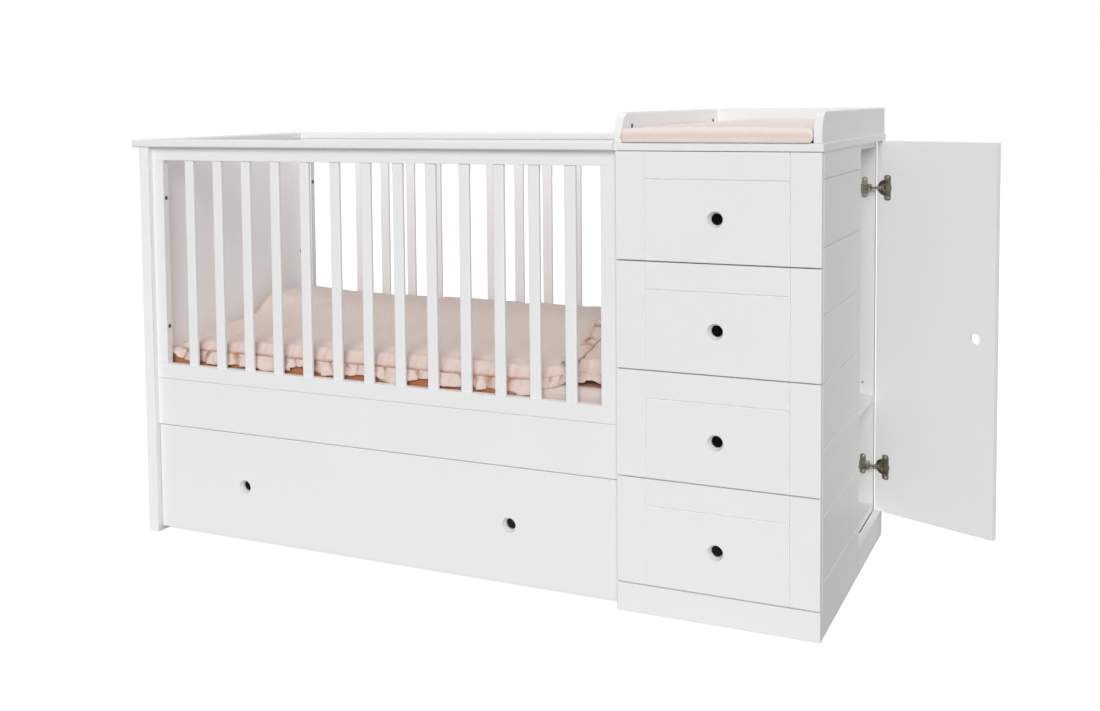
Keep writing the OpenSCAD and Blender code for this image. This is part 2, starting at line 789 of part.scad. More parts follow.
module cup_screws() color(steel) placed() with_door()
    for (z = hinge_z, side = [-1, 1])
        translate([door_inner_x - wing_t, wing_y, z + side * wing_screw_z]) rotate([0, -90, 0])
            screw_head();

// Low head with a bevelled rim and a cross recess, standing on z = 0
module screw_head() difference() {
    union() {
        cylinder(h = screw_h / 2, r = screw_r);
        translate([0, 0, screw_h / 2]) cylinder(h = screw_h / 2, r1 = screw_r, r2 = screw_r * 0.75);
    }
    for (a = [0, 90]) rotate(a) translate([-screw_r / 2, -screw_h / 3, screw_h / 2])
        cube([screw_r, screw_h / 1.5, screw_h]);
}

// Changing tray -------------------------------------------------------------------------------------

// Base with an eased front, and its two upper side edges eased as well
module tray_base() color(paint) placed() intersection() {
    eased_front([tray_left, tray_front, chest_h], [tray_right, chest_d, tray_z]);
    translate([tray_left, tray_front, chest_h]) along_y(chest_d - tray_front)
        linear_extrude(chest_d - tray_front) translate([tray_right - tray_left, tray_t])
            rotate(180) eased_rect(tray_right - tray_left, tray_t, ease_r);
}

// Side wall: its front top corner sweeps down in a large round, and its upper edge is eased
module tray_wall(x) {
    length = tray_rear - tray_front;
    r = tray_corner_r;
    translate([x, tray_front, tray_z]) difference() {
        intersection() {
            along_x() linear_extrude(tray_t) {
                translate([r, 0]) square([length - r, tray_wall_h]);
                square([length, tray_wall_h - r]);
                translate([r, tray_wall_h - r]) circle(r, $fn = 96);
            }
            along_y(length) linear_extrude(length) rotate(180) translate([-tray_t, -tray_wall_h])
                eased_rect(tray_t, tray_wall_h, tray_edge_r);
        }
        for (y = tray_bolt_y) translate([-cut, y - tray_front, tray_bolt_z - tray_z])
            rotate([0, 90, 0]) cylinder(h = tray_t + 2 * cut, r = bolt_r / 2);
    }
}

module tray_left_wall() color(paint) placed() tray_wall(tray_left + tray_step);

module tray_right_wall() color(paint) placed() tray_wall(tray_inner_right);

module tray_back_wall() color(paint) placed()
    translate([tray_inner_left, tray_rear - tray_t, tray_z]) along_x()
        linear_extrude(tray_inner_right - tray_inner_left)
            translate([tray_t, tray_wall_h]) rotate(180) eased_rect(tray_t, tray_wall_h, tray_edge_r);

// Closed cushion from two surfaces over the same grid: top(u, v) and bottom(u, v) are lists of
// heights, xs and ys the grid lines. The rim joins the two surfaces.
module cushion(xs, ys, top, bottom) {
    nx = len(xs);
    ny = len(ys);
    sheet = nx * ny;
    points = concat(
        [for (j = [0 : ny - 1], i = [0 : nx - 1]) [xs[i], ys[j], bottom[j][i]]],
        [for (j = [0 : ny - 1], i = [0 : nx - 1]) [xs[i], ys[j], top[j][i]]]
    );
    low = [for (j = [0 : ny - 2], i = [0 : nx - 2], half = [0, 1])
        let (a = j * nx + i) half ? [a, a + 1, a + nx + 1] : [a, a + nx + 1, a + nx]];
    high = [for (j = [0 : ny - 2], i = [0 : nx - 2], half = [0, 1])
        let (a = sheet + j * nx + i) half ? [a, a + nx + 1, a + 1] : [a, a + nx, a + nx + 1]];
    rim = concat([for (i = [0 : nx - 2]) i], [for (j = [0 : ny - 2]) j * nx + nx - 1],
                 [for (i = [nx - 1 : -1 : 1]) (ny - 1) * nx + i], [for (j = [ny - 1 : -1 : 1]) j * nx]);
    sides = [for (k = [0 : len(rim) - 1], half = [0, 1])
        let (a = rim[k], b = rim[(k + 1) % len(rim)])
            half ? [a, sheet + a, sheet + b] : [a, sheet + b, b]];
    polyhedron(points, concat(low, high, sides));
}

// Grid lines from a to b that crowd towards both ends
function crowded(a, b, n) = [for (i = [0 : n]) (a + b) / 2 - (b - a) / 2 * cos(180 * i / n)];

// Rise of a padded section across its width: 0 at the edges, 1 over the middle
function puffed(t, power) = pow(max(0, 1 - pow(abs(2 * t - 1), power)), 0.5);

pad_xs = crowded(pad_x0, pad_x1, pad_nx);
pad_ys = crowded(pad_y0, pad_y1, pad_ny);

function pad_share(p, lo, hi) = (p - lo) / (hi - lo);
function pad_floor(y) = y > tray_front - soft_gap ? tray_z + soft_gap : tray_z - pad_droop;
function pad_top(x, y) = let (
    u = pad_share(x, pad_x0, pad_x1),
    v = pad_share(y, pad_y0, pad_y1),
    edge = puffed(u, 10) * puffed(v, 14),
    crown = pad_crown * sin(180 * u) * (0.55 + 0.45 * sin(90 * v))
) pad_seam + soft_gap + pad_edge_h * (1 - seam_share) * edge + crown * edge;
function pad_low(x, y) = let (
    u = pad_share(x, pad_x0, pad_x1),
    v = pad_share(y, pad_y0, pad_y1),
    edge = puffed(u, 30) * puffed(v, 40)
) pad_seam - (pad_seam - pad_floor(y)) * edge;

// Changing pad: filled, crowned, drawn in at its seam and drooping over the front of the tray
module changing_pad() color(cloth) placed()
    cushion(pad_xs, pad_ys,
            [for (y = pad_ys) [for (x = pad_xs) pad_top(x, y)]],
            [for (y = pad_ys) [for (x = pad_xs) pad_low(x, y)]]);

// Crib ----------------------------------------------------------------------------------------------

module end_panel() color(paint) placed()
    eased_front([end_left, 0, 0], [crib_left, end_d, chest_h]);

// Cap bars: rounded section along the bar, and mitres at the corners over the end panel
module cap_bar_x(y0, y1, plan) intersection() {
    translate([cap_left_x, y0, chest_h]) along_x() linear_extrude(cap_right_x - cap_left_x)
        round_rect(y1 - y0, cap_t, cap_edge_r);
    translate([0, 0, chest_h - cut]) linear_extrude(cap_t + 2 * cut) polygon(plan);
}

module cap_front() color(paint) placed()
    cap_bar_x(cap_y0, cap_y0 + cap_w,
        [[cap_left_x, cap_y0], [cap_right_x, cap_y0], [cap_right_x, cap_y0 + cap_w],
         [cap_inner_x, cap_y0 + cap_w]]);

module cap_back() color(paint) placed()
    cap_bar_x(cap_y1 - cap_w, cap_y1,
        [[cap_left_x, cap_y1], [cap_inner_x, cap_y1 - cap_w], [cap_right_x, cap_y1 - cap_w],
         [cap_right_x, cap_y1]]);

module cap_left() color(paint) placed() intersection() {
    translate([cap_left_x, cap_y0, chest_h]) along_y(cap_y1 - cap_y0)
        linear_extrude(cap_y1 - cap_y0) round_rect(cap_end_w, cap_t, cap_edge_r);
    translate([0, 0, chest_h - cut]) linear_extrude(cap_t + 2 * cut)
        polygon([[cap_left_x, cap_y0], [cap_inner_x, cap_y0 + cap_w],
                 [cap_inner_x, cap_y1 - cap_w], [cap_left_x, cap_y1]]);
}

// Rails with a mortise for each slat; the slats' tenons are the slats' own full section
module slatted_rail(y, z, h, mortise_z) difference() {
    board([crib_left, y, z], [0, y + front_t, z + h]);
    for (i = [0 : slat_count - 1])
        translate([slat_first + i * slat_pitch - tenon_play, y + slat_offset(y) - tenon_play, mortise_z])
            cube([slat_w + 2 * tenon_play, slat_t + 2 * tenon_play, tenon_d + cut]);
}

// Slats lie near the outer face of the front frame, and near the inner face of the back frame
function slat_offset(y) = y > frame_y ? front_t - slat_inset - slat_t : slat_inset;

module front_top_rail() color(paint) placed()
    slatted_rail(frame_y, rail_z, top_rail_h, rail_z - cut);

module back_top_rail() color(paint) placed()
    slatted_rail(frame_back_y, rail_z, top_rail_h, rail_z - cut);

module front_bottom_rail() color(paint) placed()
    slatted_rail(frame_y, bottom_rail_z, bottom_rail_h, bottom_rail_top - tenon_d);

module back_bottom_rail() color(paint) placed()
    slatted_rail(frame_back_y, bottom_rail_z, bottom_rail_h, bottom_rail_top - tenon_d);

module frame_stiles() color(paint) placed()
    for (y = [frame_y, frame_back_y]) {
        board([crib_left, y, bottom_rail_top], [crib_left + stile_left_w, y + front_t, rail_z]);
        board([-stile_right_w, y, bottom_rail_top], [0, y + front_t, rail_z]);
    }

module slat_row(y)
    for (i = [0 : slat_count - 1])
        translate([slat_first + i * slat_pitch, y + slat_offset(y), bottom_rail_top - tenon_d])
            linear_extrude(rail_z - bottom_rail_top + 2 * tenon_d)
                round_rect(slat_w, slat_t, slat_edge_r);

module front_slats() color(paint) placed() slat_row(frame_y);

module back_slats() color(paint) placed() slat_row(frame_back_y);

// Apron board of the front, rebated along its top edge so that a fine line shows below the rail
module front_apron() color(paint) placed() difference() {
    board([crib_left, frame_y, apron_z], [0, frame_y + front_t, bottom_rail_z]);
    board([crib_left - cut, frame_y - cut, bottom_rail_z - joint_line_w],
          [cut, frame_y + joint_line_d, bottom_rail_z + cut]);
}

module back_apron() color(paint) placed()
    board([crib_left, frame_back_y, apron_z], [0, frame_back_y + front_t, bottom_rail_z]);

// Bed rails along the two aprons, and the spring slats that lie on them
module bed_rails() color("burlywood") placed()
    for (y = [frame_y + front_t, frame_back_y - bed_rail_w])
        board([crib_left, y, bed_rail_top - bed_rail_h], [0, y + bed_rail_w, bed_rail_top]);

module bed_slats() color("burlywood") placed() {
    free = crib_l - base_slat_count * base_slat_w;
    gap = free / (base_slat_count + 1);
    for (i = [0 : base_slat_count - 1])
        board([crib_left + gap + i * (gap + base_slat_w), frame_y + front_t + slat_inset, bed_rail_top],
              [crib_left + (i + 1) * (gap + base_slat_w), frame_back_y - slat_inset, mattress_z]);
}

// Button heads of the connecting bolts: on the stiles, the end panel and the tray walls
module joint_bolts() color(bronze) placed() {
    stile_face = crib_left + stile_left_w;
    for (y = [frame_y + front_t / 2, frame_back_y + front_t / 2], z = frame_bolt_z)
        translate([stile_face, y, z]) rotate([0, 90, 0]) bolt_head();
    translate([crib_left, frame_back_y - panel_bolt_inset, panel_bolt_z]) rotate([0, 90, 0]) bolt_head();
    for (y = tray_bolt_y) {
        translate([tray_inner_left, y, tray_bolt_z]) rotate([0, 90, 0]) bolt_head();
        translate([tray_inner_right, y, tray_bolt_z]) rotate([0, -90, 0]) bolt_head();
    }
}

// Flat button head with a hexagon socket
module bolt_head() difference() {
    union() {
        cylinder(h = bolt_h / 2, r = bolt_r);
        translate([0, 0, bolt_h / 2]) cylinder(h = bolt_h / 2, r1 = bolt_r, r2 = bolt_r * 0.7);
    }
    translate([0, 0, bolt_h / 3]) cylinder(h = bolt_h, r = bolt_r / 2, $fn = 6);
}

// Bed filling ---------------------------------------------------------------------------------------

module mattress() color("white") placed() {
    size = [mattress_x1 - mattress_x0, mattress_y1 - mattress_y0, mattress_t];
    translate([mattress_x0, mattress_y0, mattress_z + soft_gap]) intersection() {
        linear_extrude(size.z) round_rect(size.x, size.y, mattress_edge_r);
        along_x() linear_extrude(size.x)
            round_rect(size.y, size.z - 2 * soft_gap, mattress_edge_r);
    }
}

duvet_xs = crowded(duvet_x0, duvet_x1, duvet_nx);
duvet_ys = concat([duvet_y0, duvet_y0 + duvet_hang / 2, duvet_y0 + duvet_hang],
    [for (t = duvet_rows) mattress_y0 + duvet_turn + (duvet_y1 - mattress_y0 - duvet_turn) * t]);

// Long folds that fan across the duvet, at most one unit high
function fold_wave(x, y) = 0.5 * sin(x * 0.55 + y * 0.4) + 0.3 * sin(x * 1.3 - y * 0.9)
    + 0.2 * sin(y * 2.1 + x * 0.2);
function duvet_ramp(y) = let (t = pad_share(y, mattress_y0, duvet_y1))
    duvet_front_h + (duvet_h - duvet_front_h) * (0.5 - 0.5 * cos(180 * min(1, max(0, t / 0.75))));
function duvet_top(x, y) = let (
    u = pad_share(x, duvet_x0, duvet_x1),
    v = pad_share(y, duvet_y0, duvet_y1),
    edge = puffed(u, 16) * puffed(max(0.5, v), 12),
    front = min(1, 0.55 + 0.45 * sqrt(max(0, (y - duvet_y0) / 30)))
) mattress_top + 1 + (duvet_ramp(y) * front + duvet_fold * fold_wave(x, y)) * edge;
function duvet_low(x, y) = y < duvet_y0 + duvet_hang + 0.1
    ? mattress_top - duvet_drop + 4 * sin(x * 3.1)
    : mattress_top + soft_gap;

// Duvet: low at the front, swelling to a folded ridge at the back, its hem hanging at the front
module duvet() color(cloth) placed()
    cushion(duvet_xs, duvet_ys,
            [for (y = duvet_ys) [for (x = duvet_xs) max(duvet_top(x, y), duvet_low(x, y) + 2)]],
            [for (y = duvet_ys) [for (x = duvet_xs) duvet_low(x, y)]]);

// Under-bed drawer ----------------------------------------------------------------------------------

module underbed_front() color(paint) placed() difference() {
    eased_front([under_x0, frame_y, under_clear], [under_x1, frame_y + front_t, under_z1]);
    for (x = [under_x0 + under_hole_inset, under_x1 - under_hole_inset])
        translate([0, frame_y, 0]) finger_hole(x, under_hole_z, front_t);
}

// Two sides and a rear wall standing on the base board
module underbed_box() color(paint) placed() difference() {
    z0 = under_base_z + under_board_t;
    board([under_box_x0, under_box_y0, z0], [under_box_x1, under_box_y1, z0 + under_wall_h]);
    board([under_box_x0 + under_board_t, under_box_y0 - cut, z0 - cut],
          [under_box_x1 - under_board_t, under_box_y1 - under_board_t, z0 + under_wall_h + cut]);
}

module underbed_base() color(paint) placed()
    board([under_box_x0, under_box_y0, under_base_z],
          [under_box_x1, under_box_y1, under_base_z + under_board_t]);

// Steel brackets under the base board, each with the axle pin of its wheel
module wheel_brackets() color(steel) placed()
    for (x = axle_x, y = axle_y) translate([x, y, 0]) {
        board([-bracket_w / 2, -wheel_r, under_base_z - bracket_t], [bracket_w / 2, wheel_r, under_base_z]);
        for (side = [-1, 1])
            translate([side * (bracket_w - bracket_t) / 2, 0, 0]) rotate([0, -90, 0])
                translate([0, 0, -bracket_t / 2]) linear_extrude(bracket_t) {
                    translate([wheel_r, 0]) circle(axle_r * 2);
                    translate([wheel_r, -axle_r * 2]) square([under_base_z - wheel_r, axle_r * 4]);
                }
        translate([-bracket_w / 2, 0, wheel_r]) rotate([0, 90, 0]) cylinder(h = bracket_w, r = axle_r);
    }

// Wheels with a running bore and a recess in each flank
module wheel_pair(y)
    for (x = axle_x) translate([x, y, wheel_r]) rotate([0, 90, 0]) difference() {
        translate([0, 0, -wheel_w / 2]) cylinder(h = wheel_w, r = wheel_r);
        translate([0, 0, -wheel_w]) cylinder(h = 2 * wheel_w, r = axle_r + pin_clearance);
        for (side = [-1, 1]) translate([0, 0, side * wheel_w / 2]) difference() {
            cylinder(h = wheel_w / 4, r = wheel_r * 0.75, center = true);
            cylinder(h = wheel_w, r = axle_r * 2, center = true);
        }
    }

module front_wheels() color("gray") placed() wheel_pair(axle_y[0]);

module rear_wheels() color("gray") placed() wheel_pair(axle_y[1]);

chest_left_panel();
chest_side_panel();
chest_partition();
chest_back();
chest_top();
chest_bottom();
plinth_front();
plinth_side();
shelf();
shelf_pins();
drawer_front(0);  // drawer_front_1
drawer_front(1);  // drawer_front_2
drawer_front(2);  // drawer_front_3
drawer_front(3);  // drawer_front_4
drawer_box(0);  // drawer_box_1
drawer_box(1);  // drawer_box_2
drawer_box(2);  // drawer_box_3
drawer_box(3);  // drawer_box_4
drawer_base(0);  // drawer_base_1
drawer_base(1);  // drawer_base_2
drawer_base(2);  // drawer_base_3
drawer_base(3);  // drawer_base_4
drawer_runners();
door();
hinge_plates();
hinge_arms();
hinge_inner_links();
hinge_outer_links();
hinge_cups();
plate_screws();
cup_screws();
tray_base();
tray_left_wall();
tray_right_wall();
tray_back_wall();
changing_pad();
end_panel();
cap_front();
cap_left();
cap_back();
front_top_rail();
back_top_rail();
front_bottom_rail();
back_bottom_rail();
frame_stiles();
front_slats();
back_slats();
front_apron();
back_apron();
bed_rails();
bed_slats();
joint_bolts();
mattress();
duvet();
underbed_front();
underbed_box();
underbed_base();
wheel_brackets();
front_wheels();
rear_wheels();
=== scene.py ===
# %% [markdown]
# # A white crib with a chest of drawers, a changing tray and an open side cupboard
# The boards, slats, drawers and hinges come from the construction model and are loaded as they
# stand. This lesson gives them their finish, makes the bedding, and sets the light and the camera.
# All lengths are metres, +Z is up, and the drawers open towards -Y.

# %% Load the construction model
import json
import math

import bmesh
import bpy
from mathutils import Matrix, Vector, noise
from mathutils.bvhtree import BVHTree


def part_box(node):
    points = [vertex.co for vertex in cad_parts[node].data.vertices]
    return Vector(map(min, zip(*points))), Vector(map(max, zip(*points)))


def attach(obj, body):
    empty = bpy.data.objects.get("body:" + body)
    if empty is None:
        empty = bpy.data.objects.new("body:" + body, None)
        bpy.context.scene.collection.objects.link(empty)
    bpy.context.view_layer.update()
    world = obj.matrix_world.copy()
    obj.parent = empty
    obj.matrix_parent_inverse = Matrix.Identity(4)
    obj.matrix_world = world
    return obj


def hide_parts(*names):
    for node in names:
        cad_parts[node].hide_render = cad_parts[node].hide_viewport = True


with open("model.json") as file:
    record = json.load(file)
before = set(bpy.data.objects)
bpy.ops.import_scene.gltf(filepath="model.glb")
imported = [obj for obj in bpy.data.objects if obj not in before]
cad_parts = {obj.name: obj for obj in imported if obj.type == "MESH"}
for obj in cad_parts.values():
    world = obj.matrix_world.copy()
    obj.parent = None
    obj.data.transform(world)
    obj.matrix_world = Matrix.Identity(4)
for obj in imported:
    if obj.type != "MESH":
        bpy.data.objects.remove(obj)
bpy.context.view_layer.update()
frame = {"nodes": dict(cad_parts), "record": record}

# %% [markdown]
# ## Camera
# The photograph was taken from the front right, a little above the tray, with a lens that
# keeps upright lines almost parallel. A camera is a position, a direction and a lens. The picture
# was cropped after it was taken, so the lens axis isn't in its middle. The shift holds that.

# %% Camera of the photograph
PICTURE_W, PICTURE_H = 1100, 711
FOCAL_PX = 1309.46
AXIS_U, AXIS_V = 489.82, 183.23
CAMERA_AT = Vector((1.21196, -2.84011, 1.05559))
YAW, PITCH, ROLL = 25.93, 3.63, -0.65

camera_data = bpy.data.cameras.new("photo_camera")
camera_data.sensor_fit = "HORIZONTAL"
camera_data.lens = FOCAL_PX / PICTURE_W * camera_data.sensor_width
camera_data.shift_x = (PICTURE_W / 2 - AXIS_U) / PICTURE_W
camera_data.shift_y = (AXIS_V - PICTURE_H / 2) / PICTURE_W
camera = bpy.data.objects.new("photo_camera", camera_data)
bpy.context.scene.collection.objects.link(camera)
camera.matrix_world = (
    Matrix.Translation(CAMERA_AT)
    @ Matrix.Rotation(math.radians(YAW), 4, "Z")
    @ Matrix.Rotation(math.radians(90 - PITCH), 4, "X")
    @ Matrix.Rotation(math.radians(ROLL), 4, "Z")
)
bpy.context.scene.camera = camera
bpy.context.scene.view_settings.view_transform = "Standard"
print("lens", round(camera_data.lens, 2), "mm")
print("shift", round(camera_data.shift_x, 4), round(camera_data.shift_y, 4))

# %% [markdown]
# ## Shader maths
# A finish is a small network of nodes. Writing it as sums and products keeps it readable. The
# class below wraps one output of a node, so that an expression on it adds the Math nodes.

# %% Helper: fields and finishes
class Field:
    """One output of a node: a number or colour that varies over the surface."""

    def __init__(self, finish, socket):
        self.finish, self.socket = finish, socket

    def _math(self, operation, left, right):
        return self.finish.node("ShaderNodeMath", {"operation": operation}, {0: left, 1: right})

    def __add__(self, other):
        return self._math("ADD", self, other)

    def __radd__(self, other):
        return self._math("ADD", other, self)

    def __mul__(self, other):
        return self._math("MULTIPLY", self, other)

    def __rmul__(self, other):
        return self._math("MULTIPLY", other, self)


class Finish:
    """A material under construction, with its Principled shader."""

    def __init__(self, name, **constants):
        self.material = bpy.data.materials.new(name)
        self.material.use_nodes = True
        self.tree = self.material.node_tree
        self.shader = self.tree.nodes["Principled BSDF"]
        for socket, value in constants.items():
            self.shader.inputs[socket.replace("_", " ")].default_value = value

    def node(self, kind, settings=None, inputs=None, output=0):
        made = self.tree.nodes.new(kind)
        for name, value in (settings or {}).items():
            setattr(made, name, value)
        for name, value in (inputs or {}).items():
            if isinstance(value, Field):
                self.tree.links.new(value.socket, made.inputs[name])
            else:
                made.inputs[name].default_value = value
        return Field(self, made.outputs[output])

    def feed(self, socket, field):
        self.tree.links.new(field.socket, self.shader.inputs[socket])

    def place(self):
        return self.node("ShaderNodeTexCoord", output="Object")

    def grain(self, place, scale, detail=2.0, rough=0.5):
        return self.node(
            "ShaderNodeTexNoise",
            inputs={"Vector": place, "Scale": scale, "Detail": detail, "Roughness": rough},
        )

    def stretched(self, place, scale):
        return self.node("ShaderNodeMapping", inputs={"Vector": place, "Scale": scale})

    def blend(self, factor, dark, light):
        return self.node(
            "ShaderNodeMix",
            {"data_type": "RGBA"},
            {"Factor": factor, 6: (*dark, 1.0), 7: (*light, 1.0)},
            output=2,
        )

    def soft_edge(self, radius):
        return self.node("ShaderNodeBevel", {"samples": 4}, {"Radius": radius})

    def bump(self, height, depth, strength, normal=None):
        inputs = {"Height": height, "Distance": depth, "Strength": strength}
        if normal is not None:
            inputs["Normal"] = normal
        return self.node("ShaderNodeBump", inputs=inputs)


print("helpers", Field.__name__, Finish.__name__)

# %% [markdown]
# ## White lacquer
# The boards are smooth fibreboard under sprayed satin lacquer. Three things make it look real: a
# faint unevenness of the gloss, the very fine ripple that a spray gun leaves, and edges that
# are never knife sharp. A Bevel node rounds the edges in the shading alone. Two more copies of
# the lacquer hold painted light and shade: a lighter one on two boards is painted light, and a
# darker one on two rear walls is painted shade.

# %% Finish: white satin lacquer
def white_lacquer(name, light, dark):
    paint = Finish(name, Specular_IOR_Level=0.42)
    place = paint.place()
    broad = paint.grain(place, 2.6, 3.0)
    fine = paint.grain(place, 240.0, 2.0)
    ripple = paint.grain(place, 620.0, 1.0)
    paint.feed("Base Color", paint.blend(broad, dark, light))
    paint.feed("Roughness", 0.36 + broad * 0.07 + fine * 0.03)
    paint.feed("Normal", paint.bump(ripple + fine * 0.6, 0.00012, 0.35, paint.soft_edge(0.0011)))
    return paint.material


lacquer = white_lacquer("white_lacquer", light=(0.905, 0.905, 0.905), dark=(0.88, 0.88, 0.885))
# Painted light: a lighter copy of the same lacquer.
painted_light_lacquer = white_lacquer("painted_light_lacquer", light=(0.96, 0.96, 0.965), dark=(0.94, 0.94, 0.945))
# Painted shade: a darker copy of the same lacquer.
painted_shade_lacquer = white_lacquer("painted_shade_lacquer", light=(0.80, 0.80, 0.80), dark=(0.78, 0.78, 0.78))
print(lacquer.name, painted_light_lacquer.name, painted_shade_lacquer.name)

# %% [markdown]
# ## Metal of the hinges, screws and runners
# Concealed hinges are pressed from steel and plated. Plate is a metal with a middling
# roughness that varies where fingers and tools have rubbed it. The hinge parts are warm nickel,
# the bolts of the frame are darker, and the screws and runners are bright zinc.

# %% Finish: plated steel
def plated_steel(name, dark, light, rough, streak):
    metal = Finish(name, Metallic=1.0)
    place = metal.place()
    cloud = metal.grain(place, 55.0, 4.0, 0.6)
    rub = metal.grain(metal.stretched(place, streak), 40.0, 2.0)
    metal.feed("Base Color", metal.blend(cloud, dark, light))
    metal.feed("Roughness", rough + cloud * 0.12 + rub * 0.1)
    metal.feed("Normal", metal.bump(rub, 0.00008, 0.4, metal.soft_edge(0.0004)))
    return metal.material


hinge_nickel = plated_steel("hinge_nickel", (0.25, 0.23, 0.18), (0.62, 0.58, 0.48), 0.22, (30, 30, 4))
dark_bolt = plated_steel("dark_bolt", (0.10, 0.10, 0.10), (0.22, 0.22, 0.22), 0.34, (30, 30, 30))
zinc_plate = plated_steel("zinc_plate", (0.50, 0.50, 0.50), (0.70, 0.70, 0.69), 0.28, (4, 40, 40))
print(hinge_nickel.name, zinc_plate.name)

# %% [markdown]
# ## Bare wood and moulded plastic
# The slatted base under the mattress is bare pale wood. Its grain runs along each board, so
# the noise is stretched along one axis. The wheels are dark grey moulded plastic.

# %% Finish: bare wood and moulded plastic
def bare_wood(name, along):
    wood = Finish(name)
    place = wood.place()
    rings = wood.grain(wood.stretched(place, along), 9.0, 6.0, 0.62)
    pores = wood.grain(wood.stretched(place, tuple(4 * v for v in along)), 60.0, 3.0)
    wood.feed("Base Color", wood.blend(rings, (0.42, 0.27, 0.14), (0.68, 0.50, 0.31)))
    wood.feed("Roughness", 0.52 + pores * 0.15)
    wood.feed("Normal", wood.bump(rings + pores, 0.0003, 0.4))
    return wood.material


def moulded_plastic(name, dark, light):
    plastic = Finish(name)
    speckle = plastic.grain(plastic.place(), 900.0, 2.0)
    plastic.feed("Base Color", plastic.blend(speckle, dark, light))
    plastic.feed("Roughness", 0.42 + speckle * 0.12)
    plastic.feed("Normal", plastic.bump(speckle, 0.0001, 0.3))
    return plastic.material


rail_wood = bare_wood("rail_wood", (0.08, 1.0, 1.0))
slat_wood = bare_wood("slat_wood", (1.0, 0.08, 1.0))
wheel_plastic = moulded_plastic("wheel_plastic", (0.09, 0.09, 0.095), (0.14, 0.14, 0.145))
print(rail_wood.name, slat_wood.name, wheel_plastic.name)

# %% [markdown]
# ## Dress the construction model
# Each node of the model keeps its mesh, and only its material changes. The record says which
# slot a node belongs to, so one dictionary dresses most of them. A second one names the few
# nodes with a finish of their own.

# %% Put the finishes on
SLOT_FINISH = {
    "white_paint": lacquer,
    "hinge_metal": hinge_nickel,
    "bright_steel": zinc_plate,
    "pale_wood": rail_wood,
    "wheel_plastic": wheel_plastic,
}
OWN_FINISH = {
    "bed_slats": slat_wood,
    "joint_bolts": dark_bolt,
    # The end panel and the tray's left wall get painted light, the tray's back wall and the chest's back
    # painted shade.
    "end_panel": painted_light_lacquer,
    "tray_back_wall": painted_shade_lacquer,
    "tray_left_wall": painted_light_lacquer,
    "chest_back": painted_shade_lacquer,
}
for part in frame["record"]["subparts"]:
    node_object = frame["nodes"][part["node"]]
    finish = OWN_FINISH.get(part["node"], SLOT_FINISH.get(part["material_slot"]))
    if finish is not None:
        node_object.data.materials.clear()
        node_object.data.materials.append(finish)
dressed = [node for node in frame["record"]["subparts"] if node["material_slot"] in SLOT_FINISH]
print("dressed", len(dressed), "nodes, of which", len(OWN_FINISH), "have a finish of their own")

# %% [markdown]
# ## Bedding: where it lies
# All bedding is placed from the mattress of the construction model. A point of the bedding
# is given as metres along the bed, metres back from the mattress front and metres above the
# mattress top, so the numbers read as they would with a tape on the real bed.

# %% Helper: bed coordinates and smooth steps
BED_LOW, BED_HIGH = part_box("mattress")


def on_bed(along, back, up):
    return Vector((BED_LOW.x + along, BED_LOW.y + back, BED_HIGH.z + up))


def ease(value, low, high):
    """0 below low, 1 above high, smooth between."""
    share = min(1.0, max(0.0, (value - low) / (high - low)))
    return share * share * (3 - 2 * share)


def follow(points, value):
    """Smooth line through (value, height) points."""
    for (v0, h0), (v1, h1) in zip(points, points[1:]):
        if value <= v1:
            share = max(0.0, (value - v0) / (v1 - v0))
            return h0 + (h1 - h0) * share * share * (3 - 2 * share)
    return points[-1][1]


def waver(a, b=0.0, c=0.0):
    """Smooth noise from -1 to 1."""
    return noise.noise(Vector((a, b, c)))


def crowd(share, pull):
    """Moves grid lines towards both ends, where the cloth bends most."""
    return share + pull * (0.5 - 0.5 * math.cos(math.pi * share) - share)


BED_SIZE = BED_HIGH - BED_LOW
print("bed", round(BED_SIZE.x, 3), "x", round(BED_SIZE.y, 3), "top at", round(BED_HIGH.z, 3))

# %% [markdown]
# ## From a bmesh to a piece
# A bmesh is Blender's workbench for shapes. The cloth starts as flat grids whose corners are then
# put in place, one after the other. A finished shape becomes an object that rides on the part's
# fixed body, and one level of subdivision smooths it, the same on screen and in the render.

# %% Helper: grids and pieces
def grid_into(shape, columns, rows, place):
    """Adds a grid of columns x rows cells and puts each corner at place(u, v)."""
    made = bmesh.ops.create_grid(shape, x_segments=columns, y_segments=rows, size=0.5)
    for vert in made["verts"]:
        vert.co = place(vert.co.x + 0.5, vert.co.y + 0.5)


def filled_bag(point, columns, rows):
    """A closed bag: a top grid and an underside grid at point(u, v, upper), joined at the rim."""
    shape = bmesh.new()
    grid_into(shape, columns, rows, lambda u, v: point(u, v, True))
    grid_into(shape, columns, rows, lambda u, v: point(u, v, False))
    bmesh.ops.remove_doubles(shape, verts=shape.verts, dist=0.00002)
    bmesh.ops.recalc_face_normals(shape, faces=shape.faces)
    return shape


def rim_round(distance, radius):
    """0 on the rim and 1 from radius inwards, along a quarter circle."""
    short = 1 - min(1.0, max(0.0, distance / radius))
    return math.sqrt(max(0.0, 1 - short * short))


def new_piece(name, shape, finish):
    mesh = bpy.data.meshes.new(name)
    shape.to_mesh(mesh)
    shape.free()
    mesh.shade_smooth()
    mesh.materials.append(finish)
    piece = bpy.data.objects.new(name, mesh)
    bpy.context.scene.collection.objects.link(piece)
    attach(piece, "root")
    return piece


def subdivide_once(piece):
    soft = piece.modifiers.new("soft", "SUBSURF")
    soft.levels = soft.render_levels = 1


print("grid and piece helpers ready")
